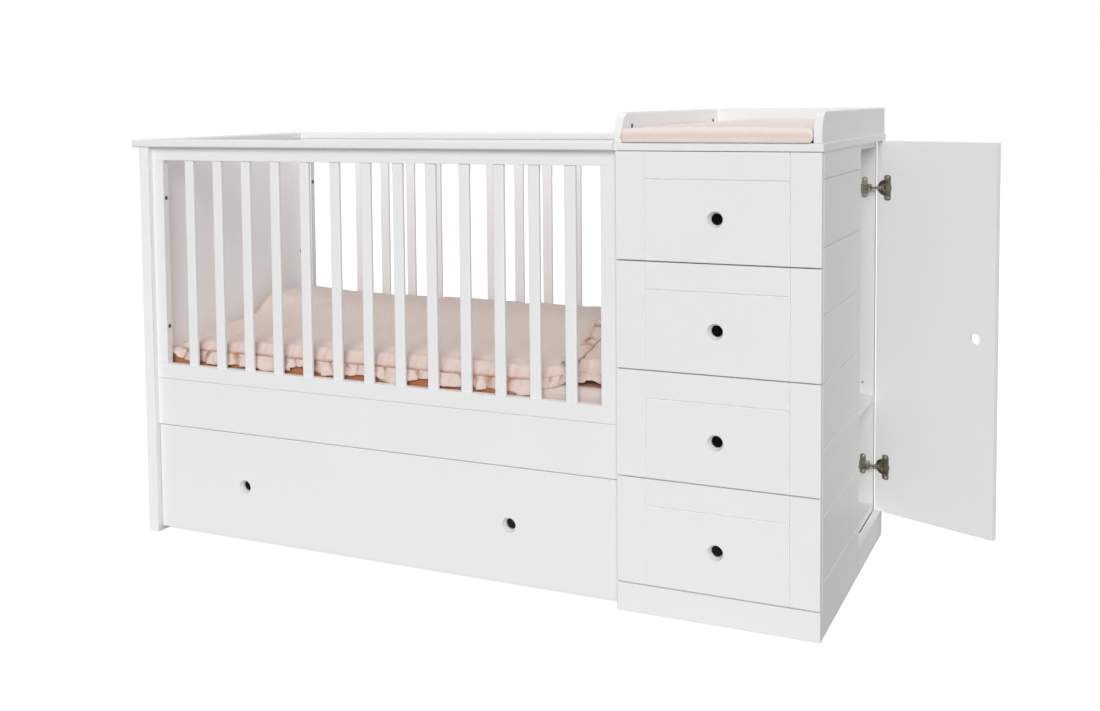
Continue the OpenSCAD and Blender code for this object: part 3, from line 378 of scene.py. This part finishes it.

# %% [markdown]
# ## Cloth
# The duvet cover is washed cotton: matt, pale pink, with a fine crinkle from the wash and a
# barely visible weave. Deep folds look orange, because light bounces between pink threads many
# times before it leaves. That shade is painted into the colour: an attribute written when the mesh
# is made holds how much painted shade each point gets, and the finish mixes in an orange-brown
# shade colour there. The same attribute also darkens the seam line of the pad.

# %% Finish: washed cotton
def washed_cotton(name, light, dark, deep, crinkle):
    cotton = Finish(name, Specular_IOR_Level=0.25, Sheen_Weight=0.12, Sheen_Roughness=0.5)
    place = cotton.place()
    cloud = cotton.grain(place, 9.0, 4.0)
    small = cotton.grain(place, 75.0, 5.0, 0.65)
    thread = cotton.grain(place, 900.0, 2.0)
    # Painted shade: the attribute says where, and deep is the colour of the painted shade.
    shade_and_seam = cotton.node("ShaderNodeAttribute", {"attribute_name": "shade_and_seam"}, output="Fac")
    plain = cotton.blend(cloud * 0.6 + small * 0.4, dark, light)
    with_painted_shade = cotton.node(
        "ShaderNodeMix", {"data_type": "RGBA"}, {"Factor": shade_and_seam, 6: plain, 7: (*deep, 1.0)}, output=2
    )
    cotton.feed("Base Color", with_painted_shade)
    cotton.feed("Roughness", 0.82 + small * 0.12)
    warp, weft = (
        cotton.node(
            "ShaderNodeTexWave",
            {"wave_type": "BANDS", "bands_direction": direction},
            {"Vector": place, "Scale": 260.0, "Distortion": 1.2, "Detail": 1.0},
        )
        for direction in "XY"
    )
    height = small * 0.8 * crinkle + thread * 0.1 + (warp + weft) * 0.06
    cotton.feed("Normal", cotton.bump(height, 0.0012, 0.5))
    return cotton.material


pink_cotton = washed_cotton(
    "pink_cotton", light=(0.79, 0.665, 0.61), dark=(0.71, 0.585, 0.53), deep=(0.40, 0.15, 0.065), crinkle=1.0
)
sheet_cotton = washed_cotton(
    "sheet_cotton", light=(0.72, 0.62, 0.575), dark=(0.66, 0.56, 0.515), deep=(0.50, 0.18, 0.07), crinkle=0.6
)
pad_cotton = washed_cotton(
    "pad_cotton", light=(0.97, 0.86, 0.80), dark=(0.94, 0.83, 0.77), deep=(0.66, 0.40, 0.29), crinkle=0.5
)
print(pink_cotton.name, sheet_cotton.name, pad_cotton.name)


# %% Helper: how dark each point is painted
def write_shade_and_seam(piece, depth_at):
    """Stores how much painted shade each point gets, from 0 to 1, and the pad's darker seam line."""
    layer = piece.data.attributes.new("shade_and_seam", "FLOAT", "POINT")
    for index, vert in enumerate(piece.data.vertices):
        layer.data[index].value = min(1.0, max(0.0, depth_at(vert.co)))


print("write_shade_and_seam ready")

# %% [markdown]
# ## Mattress in its fitted sheet
# A foam mattress keeps its block shape, with soft edges where elastic pulls the sheet
# over them. A cube is bevelled and cut into small fields, then its skin is pushed in by a few
# millimetres: pulled creases near the corners, and a slight unevenness between them.

# %% Cut the mattress block into fields
SHEET_SLACK = Vector((0.004, 0.004, 0.002))
SOFT_EDGE = 0.019
FIELDS = (48, 24, 18)


def cut_across(shape, axis, count):
    """Cuts the block into count fields along one axis, with planes at equal steps."""
    across = Vector((0.0, 0.0, 0.0))
    across[axis] = 1.0
    step = BED_SIZE[axis] / count
    for n in range(1, count):
        where = BED_LOW.copy()
        where[axis] += n * step
        everything = shape.verts[:] + shape.edges[:] + shape.faces[:]
        bmesh.ops.bisect_plane(shape, geom=everything, plane_co=where, plane_no=across)


mattress_block = bmesh.new()
bmesh.ops.create_cube(mattress_block, size=1.0)
bmesh.ops.scale(mattress_block, vec=BED_SIZE - SHEET_SLACK, verts=mattress_block.verts)
bmesh.ops.translate(mattress_block, vec=(BED_LOW + BED_HIGH) / 2, verts=mattress_block.verts)
bmesh.ops.bevel(
    mattress_block,
    geom=mattress_block.edges[:],
    offset=SOFT_EDGE,
    affect="EDGES",
    segments=4,
    profile=0.5,
    material=-1,
)
for cut_axis, field_count in enumerate(FIELDS):
    cut_across(mattress_block, cut_axis, field_count)
mattress_block.normal_update()
print("block with", len(mattress_block.faces), "faces")

# %% Pull the sheet over it
PULL_REACH = 0.09
CREASE_DEPTH, DRIFT_DEPTH, SHEET_DEPTH = 0.0035, 0.0008, 0.0012


def sheet_pull(co):
    """How far the sheet sinks in at a point: creases near the corners, a drift elsewhere."""
    from_end = min(co.x - BED_LOW.x, BED_HIGH.x - co.x)
    from_side = min(co.y - BED_LOW.y, BED_HIGH.y - co.y)
    pull = math.exp(-(from_end + from_side) / PULL_REACH)
    crease = waver(co.x * 45, co.y * 45, co.z * 6) * CREASE_DEPTH * pull
    return SHEET_DEPTH + abs(crease) + waver(co.x * 7, co.y * 7, 4.0) * DRIFT_DEPTH


for vert in mattress_block.verts:
    if vert.co.z >= BED_LOW.z + 0.01:
        vert.co -= vert.normal * sheet_pull(vert.co)
mattress_piece = new_piece("mattress_in_sheet", mattress_block, sheet_cotton)


def shade_of_frill(co):
    """The sheet glows orange in the narrow shade under the frill, and stays pale below it."""
    along, back = co.x - BED_LOW.x, co.y - BED_LOW.y
    lying = ease(along, 0.90, 1.02)
    hanging = ease(co.z - BED_HIGH.z, -0.050, -0.034) * (1 - ease(back, 0.012, 0.03)) * (1 - lying)
    return 0.95 * hanging + 0.9 * lying * ease(back, 0.014, 0.022) * (1 - ease(back, 0.08, 0.16))


write_shade_and_seam(mattress_piece, shade_of_frill)
subdivide_once(mattress_piece)
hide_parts("mattress")
print("mattress faces", len(mattress_piece.data.polygons))

# %% [markdown]
# ## Duvet
# The duvet is a filled bag. Its front edge is a soft roll, gathered above a sewn seam where the
# frill starts. Behind the roll the top rises gently to the back of the bed. The left end
# swells into two humps, and at the right the end is turned back over itself. Two grids make it,
# a top and an underside that share their rim. A short cloth simulation then fills it, as
# the stuffing does in a real one, and gives it creases that nobody has to draw.

# %% The duvet's lines
# Outline, then heights as (metres back, metres up), then the turned-back edge as (back, along).
DUVET_LEFT, DUVET_RIGHT, DUVET_BACK = 0.022, 1.180, 0.606
MIDDLE_RISE = [(0.0, 0.026), (0.018, 0.0285), (0.04, 0.027), (0.075, 0.031), (0.155, 0.040),
               (0.255, 0.048), (0.355, 0.056), (0.455, 0.063), (0.56, 0.070), (0.62, 0.072)]
LEFT_RISE = [(0.0, 0.018), (0.07, 0.015), (0.12, 0.014), (0.181, 0.025), (0.233, 0.037),
             (0.305, 0.039), (0.392, 0.084), (0.44, 0.088), (0.50, 0.087), (0.62, 0.074)]
FLAP_EDGE = [(0.0, 1.075), (0.112, 1.064), (0.25, 1.054), (0.38, 1.03), (0.478, 1.01), (0.62, 0.99)]
CORNER_R = 0.055
SEAM_BACK, SEAM_UP = 0.002, 0.0035
END_PULLED_BACK, END_LIFTED = 0.045, 0.018


def front_line(along):
    """How far behind the mattress front the duvet's front seam lies."""
    corner = max(0.0, CORNER_R - (along - DUVET_LEFT))
    round_off = CORNER_R - math.sqrt(max(0.0, CORNER_R * CORNER_R - corner * corner))
    return SEAM_BACK + round_off + END_PULLED_BACK * ease(along, 0.95, 1.10)


def seam_height(along):
    return SEAM_UP + END_LIFTED * ease(along, 0.96, 1.12)


print("front seam", round(DUVET_RIGHT - DUVET_LEFT, 3), "m long")


# %% Gathers and dimples along a seam
def puckers(along, seed=0.0):
    """Gathers along a seam: 0 in a crease, 1 on a puff. Wide ones and narrow ones take turns."""
    wide = along / 0.052 + 1.3 * waver(along * 11, seed) + 0.5 * waver(along * 31, seed)
    narrow = along / 0.017 + 1.4 * waver(along * 23, seed + 4)
    share = 0.5 + 0.9 * waver(along * 7, seed + 8)
    share = min(0.9, max(0.15, share))
    deep = abs(math.sin(math.pi * wide)) ** 0.5
    small = abs(math.sin(math.pi * narrow)) ** 0.8
    return (1 - share) * deep + share * (0.35 + 0.65 * small)


def dimples(along, inside):
    """Soft hollows in the roll above the front seam, 0 between them."""
    return math.exp(-(((inside - 0.040) / 0.014) ** 2)) * max(0.0, waver(along * 15, 3.0) + 0.20)


print("gathers at 0.5 m:", round(puckers(0.5), 2), "dimple:", round(dimples(0.5, 0.040), 2))


# %% The duvet's skin
FLAP_THICK = 0.017
FRONT_ROLL, BACK_ROLL, LEFT_ROLL, RIGHT_ROLL = 0.017, 0.028, 0.030, 0.026
GATHER_REACH, GATHER_DEPTH, DIMPLE_DEPTH = 0.030, 0.0090, 0.0100
UNDER_GAP = 0.0008


def duvet_top(along, back):
    inside = back - front_line(along)
    middle, left = follow(MIDDLE_RISE, inside), follow(LEFT_RISE, back)
    share = ease(along, DUVET_LEFT + 0.02, DUVET_LEFT + 0.24)
    height = left + (middle - left) * share
    edge_gap = along - follow(FLAP_EDGE, back)
    height += FLAP_THICK * ease(edge_gap, -0.004, 0.014) * (1 - 0.5 * ease(edge_gap, 0.08, 0.16))
    folds = 0.0030 * waver(along * 5.2 + back * 3, back * 7.0, 2.0)
    folds += 0.0014 * waver(along * 17 - back * 8, back * 19, 5.0)
    folds += 0.0016 * waver(along * 34 + back * 52, back * 21, 13.0) * ease(along, 0.93, 1.02)
    return height + folds * ease(inside, 0.02, 0.12)


def duvet_point(u, v, upper):
    along = DUVET_LEFT + (DUVET_RIGHT - DUVET_LEFT) * crowd(u, 0.25)
    front = front_line(along)
    back = front + (DUVET_BACK - front) * crowd(v ** 1.25, 0.35)
    inside = back - front
    left_in, right_in = along - DUVET_LEFT, DUVET_RIGHT - along
    rim = rim_round(inside, FRONT_ROLL) * rim_round(DUVET_BACK - back, BACK_ROLL)
    rim *= rim_round(left_in, LEFT_ROLL) * rim_round(right_in, RIGHT_ROLL)
    seam = seam_height(along)
    if not upper:
        return on_bed(along, back, seam + (UNDER_GAP - seam) * min(1.0, rim * 1.6))
    gather = math.exp(-inside / GATHER_REACH) + 0.8 * math.exp(-left_in / GATHER_REACH)
    pucker = min(puckers(along), 1.0) if inside < left_in else puckers(back, 7.0)
    dent = GATHER_DEPTH * min(1.0, gather) * (1 - pucker)
    spots = DIMPLE_DEPTH * dimples(along, inside)
    height = seam + (duvet_top(along, back) - seam) * rim
    push = 0.0040 * rim_round(inside, 0.014) * math.exp(-inside / 0.012) * (pucker - 0.5)
    return on_bed(along, back - push, max(seam, height - (dent + spots) * rim))


duvet_piece = new_piece("pink_duvet", filled_bag(duvet_point, 230, 96), pink_cotton)
print("duvet faces", len(duvet_piece.data.polygons))

# %% [markdown]
# ## Letting cloth move
# Real creases come from cloth that is pushed and can't go where it wants. Blender's cloth
# modifier does the same for a few frames: stuffing presses from inside, or the cloth grows a
# little and buckles. Some points are held, no point may go far, and the mesh then keeps the
# result, so that nothing is left to simulate when the scene is opened.

# %% Helper: short cloth simulation
def simulate(piece, frames, reach, held, growth, pressure=0.0, gravity=0.0, limit=None):
    """Lets the cloth move. held holds the indices that stay, no point goes further than reach,
    and limit(co) puts a point back where something solid is in its way."""
    group = piece.vertex_groups.new(name="held")
    group.add(held, 1.0, "REPLACE")
    start = [v.co.copy() for v in piece.data.vertices]
    cloth = piece.modifiers.new("air", "CLOTH")
    settings = cloth.settings
    settings.quality, settings.mass = 4, 0.25
    settings.tension_stiffness = settings.compression_stiffness = 12
    settings.shear_stiffness, settings.bending_stiffness = 4, 0.4
    settings.use_pressure = pressure > 0
    settings.uniform_pressure_force = pressure
    settings.effector_weights.gravity = gravity
    settings.shrink_min = -growth
    settings.vertex_group_mass = "held"
    cloth.point_cache.frame_start, cloth.point_cache.frame_end = 1, frames
    for number in range(1, frames + 1):
        bpy.context.scene.frame_set(number)
    shown = piece.evaluated_get(bpy.context.evaluated_depsgraph_get()).to_mesh()
    moved = [v.co.copy() for v in shown.vertices]
    piece.modifiers.remove(cloth)
    piece.vertex_groups.remove(group)
    most = 0.0
    for vert, was, now in zip(piece.data.vertices, start, moved):
        step = now - was
        if step.length > reach:
            step *= reach / step.length
        most = max(most, step.length)
        vert.co = limit(was + step) if limit else was + step
    bpy.context.scene.frame_set(1)
    print(piece.name, "moved up to", round(most * 1000, 1), "mm")


def lower_than(piece, height):
    return [v.index for v in piece.data.vertices if v.co.z < height]


print("simulation", "ready")

# %% [markdown]
# ## Deepen and fill the duvet
# Four things get painted shade, darker than the cloth between them: the crease of the sewn seam,
# the gathers and the dimples above it, and the shade beside the turned-back edge. They are written
# first, while the skin still has its drawn shape. Then the stuffing presses outwards, with the
# underside and the seam held.

# %% Fill the duvet
FLAP_SHADE_BACK, FLAP_SHADE_WIDTH = 0.034, 0.006


def duvet_painted_shade(co):
    along, back, up = co.x - BED_LOW.x, co.y - BED_LOW.y, co.z - BED_HIGH.z
    inside = back - front_line(along)
    low = 1 - ease(up, 0.0030, 0.0054)
    broken = min(1.0, max(0.4, 0.75 + 0.9 * waver(along * 34, 11.0)))
    crease = (1 - puckers(along)) * math.exp(-max(0.0, inside) / 0.02)
    off_edge = along - (follow(FLAP_EDGE, back) - FLAP_SHADE_BACK)
    under_edge = math.exp(-((off_edge / FLAP_SHADE_WIDTH) ** 2))
    under_edge *= min(1.0, max(0.15, 0.6 + 1.8 * waver(back * 26, 17.0)))
    # Painted shade: along the seam crease and beside the turned-back edge (lines), in the gathers (crease)
    # and in the dimples.
    lines = 0.80 * low * broken + 0.95 * under_edge * ease(back, 0.05, 0.09)
    return lines + 0.40 * crease + 0.30 * dimples(along, inside)


write_shade_and_seam(duvet_piece, duvet_painted_shade)
duvet_underside = lower_than(duvet_piece, BED_HIGH.z + 0.0045)
simulate(duvet_piece, 14, 0.006, duvet_underside, growth=0.025, pressure=2.0)
subdivide_once(duvet_piece)
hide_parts("duvet")
print("held", len(duvet_underside), "points of the duvet")

# %% [markdown]
# ## Frills
# Each frill is one strip of the same cotton, cut longer than the seam it is sewn to. The extra
# length has nowhere to go but into waves, which are tight at the seam and wide at the free
# hem. A grid strip follows the seam, and its waves swing out and along, so that neighbouring
# folds lean over each other as gathered cloth does. Before that come two helpers that say
# where the cloth can't be: in the mattress, through the slats, or under the duvet's skin.

# %% Helper: what a frill has to stay clear of
MATTRESS_EDGE_R = 0.020
OVER_MATTRESS, OFF_MATTRESS, OVER_DUVET = 0.0009, 0.0006, 0.0012
SLAT_GAP, SLAT_EASE = 0.0025, 0.004
SLATS_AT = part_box("front_slats")[1].y + SLAT_GAP - BED_LOW.y
DUVET_SKIN = BVHTree.FromPolygons(
    [v.co for v in duvet_piece.data.vertices], [f.vertices[:] for f in duvet_piece.data.polygons]
)


def clear_of_bed(co):
    """Keeps a point of a frill in front of the mattress, over it, and behind the slats."""
    back, up = co.y - BED_LOW.y, co.z - BED_HIGH.z
    if up < OVER_MATTRESS and back > MATTRESS_EDGE_R - 0.006:
        up = OVER_MATTRESS
    elif up < 0:
        low = max(0.0, MATTRESS_EDGE_R + up)
        skin = MATTRESS_EDGE_R - math.sqrt(max(0.0, MATTRESS_EDGE_R ** 2 - low ** 2))
        back = min(back, skin - OFF_MATTRESS)
    near = SLATS_AT + SLAT_EASE
    if back < near:
        back = near - SLAT_EASE * math.tanh((near - back) / SLAT_EASE)
    return Vector((co.x, BED_LOW.y + back, BED_HIGH.z + up))


def clear_of_duvet(co):
    """Keeps a point of the upper frill just over the filled duvet below it."""
    hit = DUVET_SKIN.ray_cast(co + Vector((0, 0, 0.2)), Vector((0, 0, -1)))[0]
    if hit is not None and co.z < hit.z + OVER_DUVET:
        return Vector((co.x, co.y, hit.z + OVER_DUVET))
    return clear_of_bed(co)


print("a frill may hang", round(-SLATS_AT * 1000, 1), "mm in front of the mattress")


# %% Helper: gathered strip
FRILL_ROWS = 12


def place_key(co):
    return round(co.x, 6), round(co.y, 6), round(co.z, 6)


def gathered_strip(name, path, width, wave, lean, columns, seed, rim_shade, keep_off):
    """path(share) gives the seam point, the way out, the fall (0 lies, 1 hangs) and the rise.
    keep_off(co) moves a point out of what lies beside it, and the rim value gives painted shade on seam and
    hem."""
    shape = bmesh.new()
    length = sum((path((n + 1) / 400)[0] - path(n / 400)[0]).length for n in range(400))
    deep = {}

    def place(u, v):
        point, out, fall, rest = path(u)
        along = u * length
        side = Vector((-out.y, out.x, 0))
        # The wave at this point: its phase, its height and how far this stretch flops over.
        phase = along / wave + 1.3 * waver(along * 12, seed) + 0.45 * waver(along * 41, seed)
        turn = 2 * math.pi * (phase + 0.9 * v * waver(along * 8, seed + 20))
        swing = 0.75 * math.sin(turn) + 0.22 * math.sin(3 * turn + 1.1)
        size = max(0.35, 0.95 + 1.3 * waver(along * 9, seed + 3))
        grow = v ** 0.75
        flop = min(1.12, max(0.35, 0.82 + 1.0 * waver(along * 12, seed + 9)))
        puff = lean * size * grow
        # Lying cloth runs outwards, and hanging cloth drops with a small bow.
        spot = point + out * (width * v * (0.8 + 0.2 * flop) * (1 - fall))
        spot += out * (fall * (0.28 + 0.30 * (1 - flop)) * width * math.sin(1.5 * v))
        up = rest * v + 0.004 * math.sin(math.pi * v) + puff * (0.5 + 0.5 * swing)
        hang = -0.80 * width * flop * v ** 1.15
        spot += Vector((0, 0, up + (hang - up) * fall))
        spot += out * (puff * swing * fall)
        spot += side * (puff * (0.4 + 0.8 * fall) * math.sin(2 * turn + 0.9))
        # Fine gathers right at the seam.
        tight = 0.0013 * math.exp(-v / 0.16) * math.sin(along * 840 + 3 * waver(along * 40, seed))
        spot = keep_off(spot + out * tight)
        # Painted shade: the valleys of the waves, and the seam and hem at both ends of the strip, get the
        # darker shade colour.
        valley = max(0.0, -swing) ** 1.5 * (0.5 + 0.5 * (1 - v))
        ends = math.exp(-v / 0.06) + 0.6 * math.exp((v - 1) / 0.06)
        deep[place_key(spot)] = 1.1 * valley + rim_shade * ends
        return spot

    grid_into(shape, columns, FRILL_ROWS, place)
    piece = new_piece(name, shape, pink_cotton)
    write_shade_and_seam(piece, lambda co: deep.get(place_key(co), 0.0))
    seam = list(range(columns + 1))
    simulate(piece, 12, 0.006, seam, growth=0.10, gravity=0.25, limit=keep_off)
    return piece, length


def cloth_area(piece):
    return sum(face.area for face in piece.data.polygons)


print("a strip has", FRILL_ROWS, "rows from seam to hem")

# %% [markdown]
# ## Frill round the hem
# The lower frill is sewn into the seam of the duvet. It lies along the left end, turns the
# corner, hangs over the front edge of the mattress, and lies again where the right end is pulled
# back. One path describes that whole run, as a share from 0 to 1.

# %% Frill round the duvet's front and left edge
HEM_WIDTH = 0.038
LEFT_RUN = 0.46
FRONT_RUN = DUVET_RIGHT - 0.012 - (DUVET_LEFT + CORNER_R)
CORNER_RUN = CORNER_R * math.pi / 2
RUN = LEFT_RUN + CORNER_RUN + FRONT_RUN


def hem_path(share):
    run = share * RUN
    if run < LEFT_RUN:
        point = on_bed(DUVET_LEFT, SEAM_BACK + CORNER_R + LEFT_RUN - run, SEAM_UP)
        return point, Vector((-1, 0, 0)), 0.0, 0.0
    if run < LEFT_RUN + CORNER_RUN:
        angle = (run - LEFT_RUN) / CORNER_R
        out = Vector((-math.cos(angle), -math.sin(angle), 0))
        middle = on_bed(DUVET_LEFT + CORNER_R, SEAM_BACK + CORNER_R, SEAM_UP)
        return middle + out * CORNER_R, out, 0.8 * ease(angle, 0.5, 1.4), 0.0
    along = DUVET_LEFT + CORNER_R + run - LEFT_RUN - CORNER_RUN
    point = on_bed(along, front_line(along), seam_height(along))
    lift = ease(along, 0.97, 1.12)
    fall = max(0.8, 1 - 0.2 * (1 - ease(along, 0.08, 0.16))) * (1 - lift)
    return point, Vector((0, -1, 0)), fall, -0.016 * lift


hem_frill, hem_length = gathered_strip(
    "hem_frill",
    hem_path,
    width=HEM_WIDTH,
    wave=0.046,
    lean=0.0105,
    columns=760,
    seed=1.0,
    rim_shade=0.35,
    keep_off=clear_of_bed,
)
print("seam", round(hem_length, 3), "m, cloth", round(cloth_area(hem_frill), 4), "m2")

# %% [markdown]
# ## Frill of the turned-back end
# The end of the duvet is turned back over itself, so its frill lies on top. It is broader and
# fuller than the hem, and its seam and its free edge are darker, because it shades itself there.

# %% Frill on top of the duvet
FLAP_WIDTH = 0.044
FLAP_START, FLAP_RUN, FLAP_INSET = 0.040, 0.545, 0.012


def flap_path(share):
    back = FLAP_START + share * FLAP_RUN
    along = follow(FLAP_EDGE, back)
    ahead = Vector((follow(FLAP_EDGE, back + 0.01) - along, 0.01, 0)).normalized()
    out = Vector((-ahead.y, ahead.x, 0))
    along += FLAP_INSET
    return on_bed(along, back, duvet_top(along, back) + 0.0015), out, 0.0, -0.006


flap_frill, flap_length = gathered_strip(
    "flap_frill",
    flap_path,
    width=FLAP_WIDTH,
    wave=0.072,
    lean=0.020,
    columns=300,
    seed=5.0,
    rim_shade=0.95,
    keep_off=clear_of_duvet,
)
print("seam", round(flap_length, 3), "m, cloth", round(cloth_area(flap_frill), 4), "m2")

# %% [markdown]
# ## What the frills are
# Each frill's flat size, as it would be cut, is printed. The width is the strip's own, and the
# length is the area of the gathered cloth divided by that width. Solidify gives the strip its
# thickness after the area is measured.

CLOTH_THICK = 0.0009
for frill, width in ((hem_frill, HEM_WIDTH), (flap_frill, FLAP_WIDTH)):
    area = cloth_area(frill)
    thick = frill.modifiers.new("cloth", "SOLIDIFY")
    thick.thickness, thick.offset = CLOTH_THICK, 0.0
    subdivide_once(frill)
    area / width
    print(frill.name, "strip", width, "x", round(area / width, 3), "m")

# %% [markdown]
# ## Changing pad
# The pad fills the tray. It is a thin mattress with a crowned top, a boxed edge with a seam
# round it, and a front that bulges over the edge of the tray. Two grids meet at the seam. The
# tray's floor carries the pad, except at the front, where the pad hangs a little lower.

# %% Shape of the changing pad
PAD_LOW, PAD_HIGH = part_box("changing_pad")
PAD_SIZE = PAD_HIGH - PAD_LOW
PAD_DROOP = 0.0033
PAD_SEAM_UP = 0.01008
PAD_BODY, PAD_CROWN = 0.0139, 0.0068
PAD_CORNER_R, PAD_EDGE_R, PAD_FRONT_R = 0.010, 0.008, 0.0055
BULGE_LEFT, BULGE_RIGHT = -0.0055, 0.0035


def pad_corner(x, y, side_gap, front_gap):
    """Rounds the two front corners in plan."""
    across, deep = max(0.0, PAD_CORNER_R - side_gap), max(0.0, PAD_CORNER_R - front_gap)
    if across == 0 or deep == 0:
        return x, y
    pull = 1 - max(across, deep) / math.hypot(across, deep)
    toward = 1 if x < (PAD_LOW.x + PAD_HIGH.x) / 2 else -1
    return x + toward * across * pull, y + deep * pull


def pad_point(u, v, upper):
    share_x, share_y = crowd(u, 0.7), crowd(v, 0.7)
    x, y = PAD_LOW.x + PAD_SIZE.x * share_x, PAD_LOW.y + PAD_SIZE.y * share_y
    side_gap, front_gap, back_gap = min(x - PAD_LOW.x, PAD_HIGH.x - x), y - PAD_LOW.y, PAD_HIGH.y - y
    x, y = pad_corner(x, y, side_gap, front_gap)
    rim = rim_round(side_gap, PAD_EDGE_R) * rim_round(front_gap, PAD_FRONT_R)
    rim *= rim_round(back_gap, PAD_EDGE_R)
    ahead = 1 - ease(front_gap, 0.004, 0.0085)
    x += ahead * (BULGE_LEFT if share_x < 0.5 else BULGE_RIGHT) * ease(abs(2 * share_x - 1), 0.80, 1.0)
    floor_z = PAD_LOW.z + PAD_DROOP
    seam = floor_z + PAD_SEAM_UP
    if not upper:
        base = PAD_LOW.z if front_gap < 0.0075 else floor_z
        return Vector((x, y, seam + (base - seam) * rim))
    crown = PAD_CROWN * math.sin(math.pi * share_x) * (0.55 + 0.45 * math.sin(math.pi / 2 * share_y))
    wrinkle = 0.0009 * waver(x * 14, y * 9, 8.0) + 0.0006 * waver(x * 50, y * 31, 2.0)
    return Vector((x, y, seam + (PAD_BODY + crown + wrinkle) * rim))


print("pad", [round(side, 3) for side in PAD_SIZE], "m")


# %% Make and fill the changing pad
def pad_depth(co):
    """The seam round the pad is a thin, slightly darker line."""
    return 0.35 * math.exp(-abs(co.z - PAD_LOW.z - PAD_DROOP - PAD_SEAM_UP) / 0.0015)


pad_piece = new_piece("pink_pad", filled_bag(pad_point, 84, 120), pad_cotton)
write_shade_and_seam(pad_piece, pad_depth)
simulate(pad_piece, 10, 0.0015, lower_than(pad_piece, PAD_LOW.z + 0.0045), growth=0.006, pressure=1.0)
subdivide_once(pad_piece)
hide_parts("changing_pad")
print("pad faces", len(pad_piece.data.polygons))

# %% [markdown]
# ## Studio
# The object stands in a white studio: a pale floor that keeps a soft shadow, a white
# surround, one broad lamp from the front right, and a weak one overhead, a little behind the
# object. The surround shows white to the camera, while it lights the object at a plainer level.

# %% White surround
def white_surround(strength):
    world = bpy.data.worlds.new("white_surround")
    world.use_nodes = True
    bpy.context.scene.world = world
    tree = world.node_tree
    back = tree.nodes["Background"]
    path = tree.nodes.new("ShaderNodeLightPath")
    seen = path.outputs["Is Camera Ray"]
    for kind in ("Is Glossy Ray", "Is Transmission Ray"):
        either = tree.nodes.new("ShaderNodeMath")
        either.operation = "MAXIMUM"
        tree.links.new(seen, either.inputs[0])
        tree.links.new(path.outputs[kind], either.inputs[1])
        seen = either.outputs[0]
    level = tree.nodes.new("ShaderNodeMapRange")
    level.inputs["To Min"].default_value = strength
    level.inputs["To Max"].default_value = 1.0
    tree.links.new(seen, level.inputs["Value"])
    tree.links.new(level.outputs[0], back.inputs["Strength"])
    back.inputs["Color"].default_value = (1, 1, 1, 1)
    return world


surround = white_surround(0.31)
print("world", surround.name)

# %% [markdown]
# ## Floor
# A floor that is white to the camera could flood the object with bounced light. So the floor
# itself is grey and keeps the shadow, and it glows for camera rays alone.

# %% Studio floor
def studio_floor(grey, glow):
    mesh = bpy.data.meshes.new("studio_floor")
    shape = bmesh.new()
    bmesh.ops.create_grid(shape, x_segments=1, y_segments=1, size=14)
    shape.to_mesh(mesh)
    shape.free()
    floor = bpy.data.objects.new("studio_floor", mesh)
    bpy.context.scene.collection.objects.link(floor)
    matt = bpy.data.materials.new("studio_floor")
    matt.use_nodes = True
    tree = matt.node_tree
    shader = tree.nodes["Principled BSDF"]
    shader.inputs["Base Color"].default_value = (grey, grey, grey, 1)
    shader.inputs["Roughness"].default_value = 0.9
    shader.inputs["Specular IOR Level"].default_value = 0.1
    path = tree.nodes.new("ShaderNodeLightPath")
    level = tree.nodes.new("ShaderNodeMath")
    level.operation = "MULTIPLY"
    level.inputs[1].default_value = glow
    tree.links.new(path.outputs["Is Camera Ray"], level.inputs[0])
    shader.inputs["Emission Color"].default_value = (1, 1, 1, 1)
    tree.links.new(level.outputs[0], shader.inputs["Emission Strength"])
    mesh.materials.append(matt)
    return floor


floor = studio_floor(grey=0.58, glow=0.80)
print("floor", floor.name)

# %% [markdown]
# ## Lamps
# A sun lamp with a wide angle acts as one very large soft lamp, and its direction alone counts.
# It comes from the front right, so the fronts are bright and the right side is a step darker.
# The overhead softbox only lifts the top edges and the bedding.

# %% Lamps
def aim(lamp, towards):
    lamp.rotation_euler = Vector(towards).to_track_quat("-Z", "Y").to_euler()
    bpy.context.scene.collection.objects.link(lamp)


def key_light(from_direction, strength, softness):
    data = bpy.data.lights.new("key_light", "SUN")
    data.energy, data.angle = strength, math.radians(softness)
    aim(bpy.data.objects.new("key_light", data), [-v for v in from_direction])


def softbox(name, at, towards, size, power):
    data = bpy.data.lights.new(name, "AREA")
    data.shape = "RECTANGLE"
    data.size, data.size_y = size
    data.energy = power
    lamp = bpy.data.objects.new(name, data)
    lamp.location = at
    aim(lamp, Vector(towards) - Vector(at))


key_light((0.32, -1.0, 0.45), strength=1.96, softness=34)
softbox("overhead_softbox", at=(0.0, 0.95, 3.2), towards=(-0.1, 0.1, 0.5), size=(2.4, 1.0), power=19)
bpy.context.scene.cycles.diffuse_bounces = 8
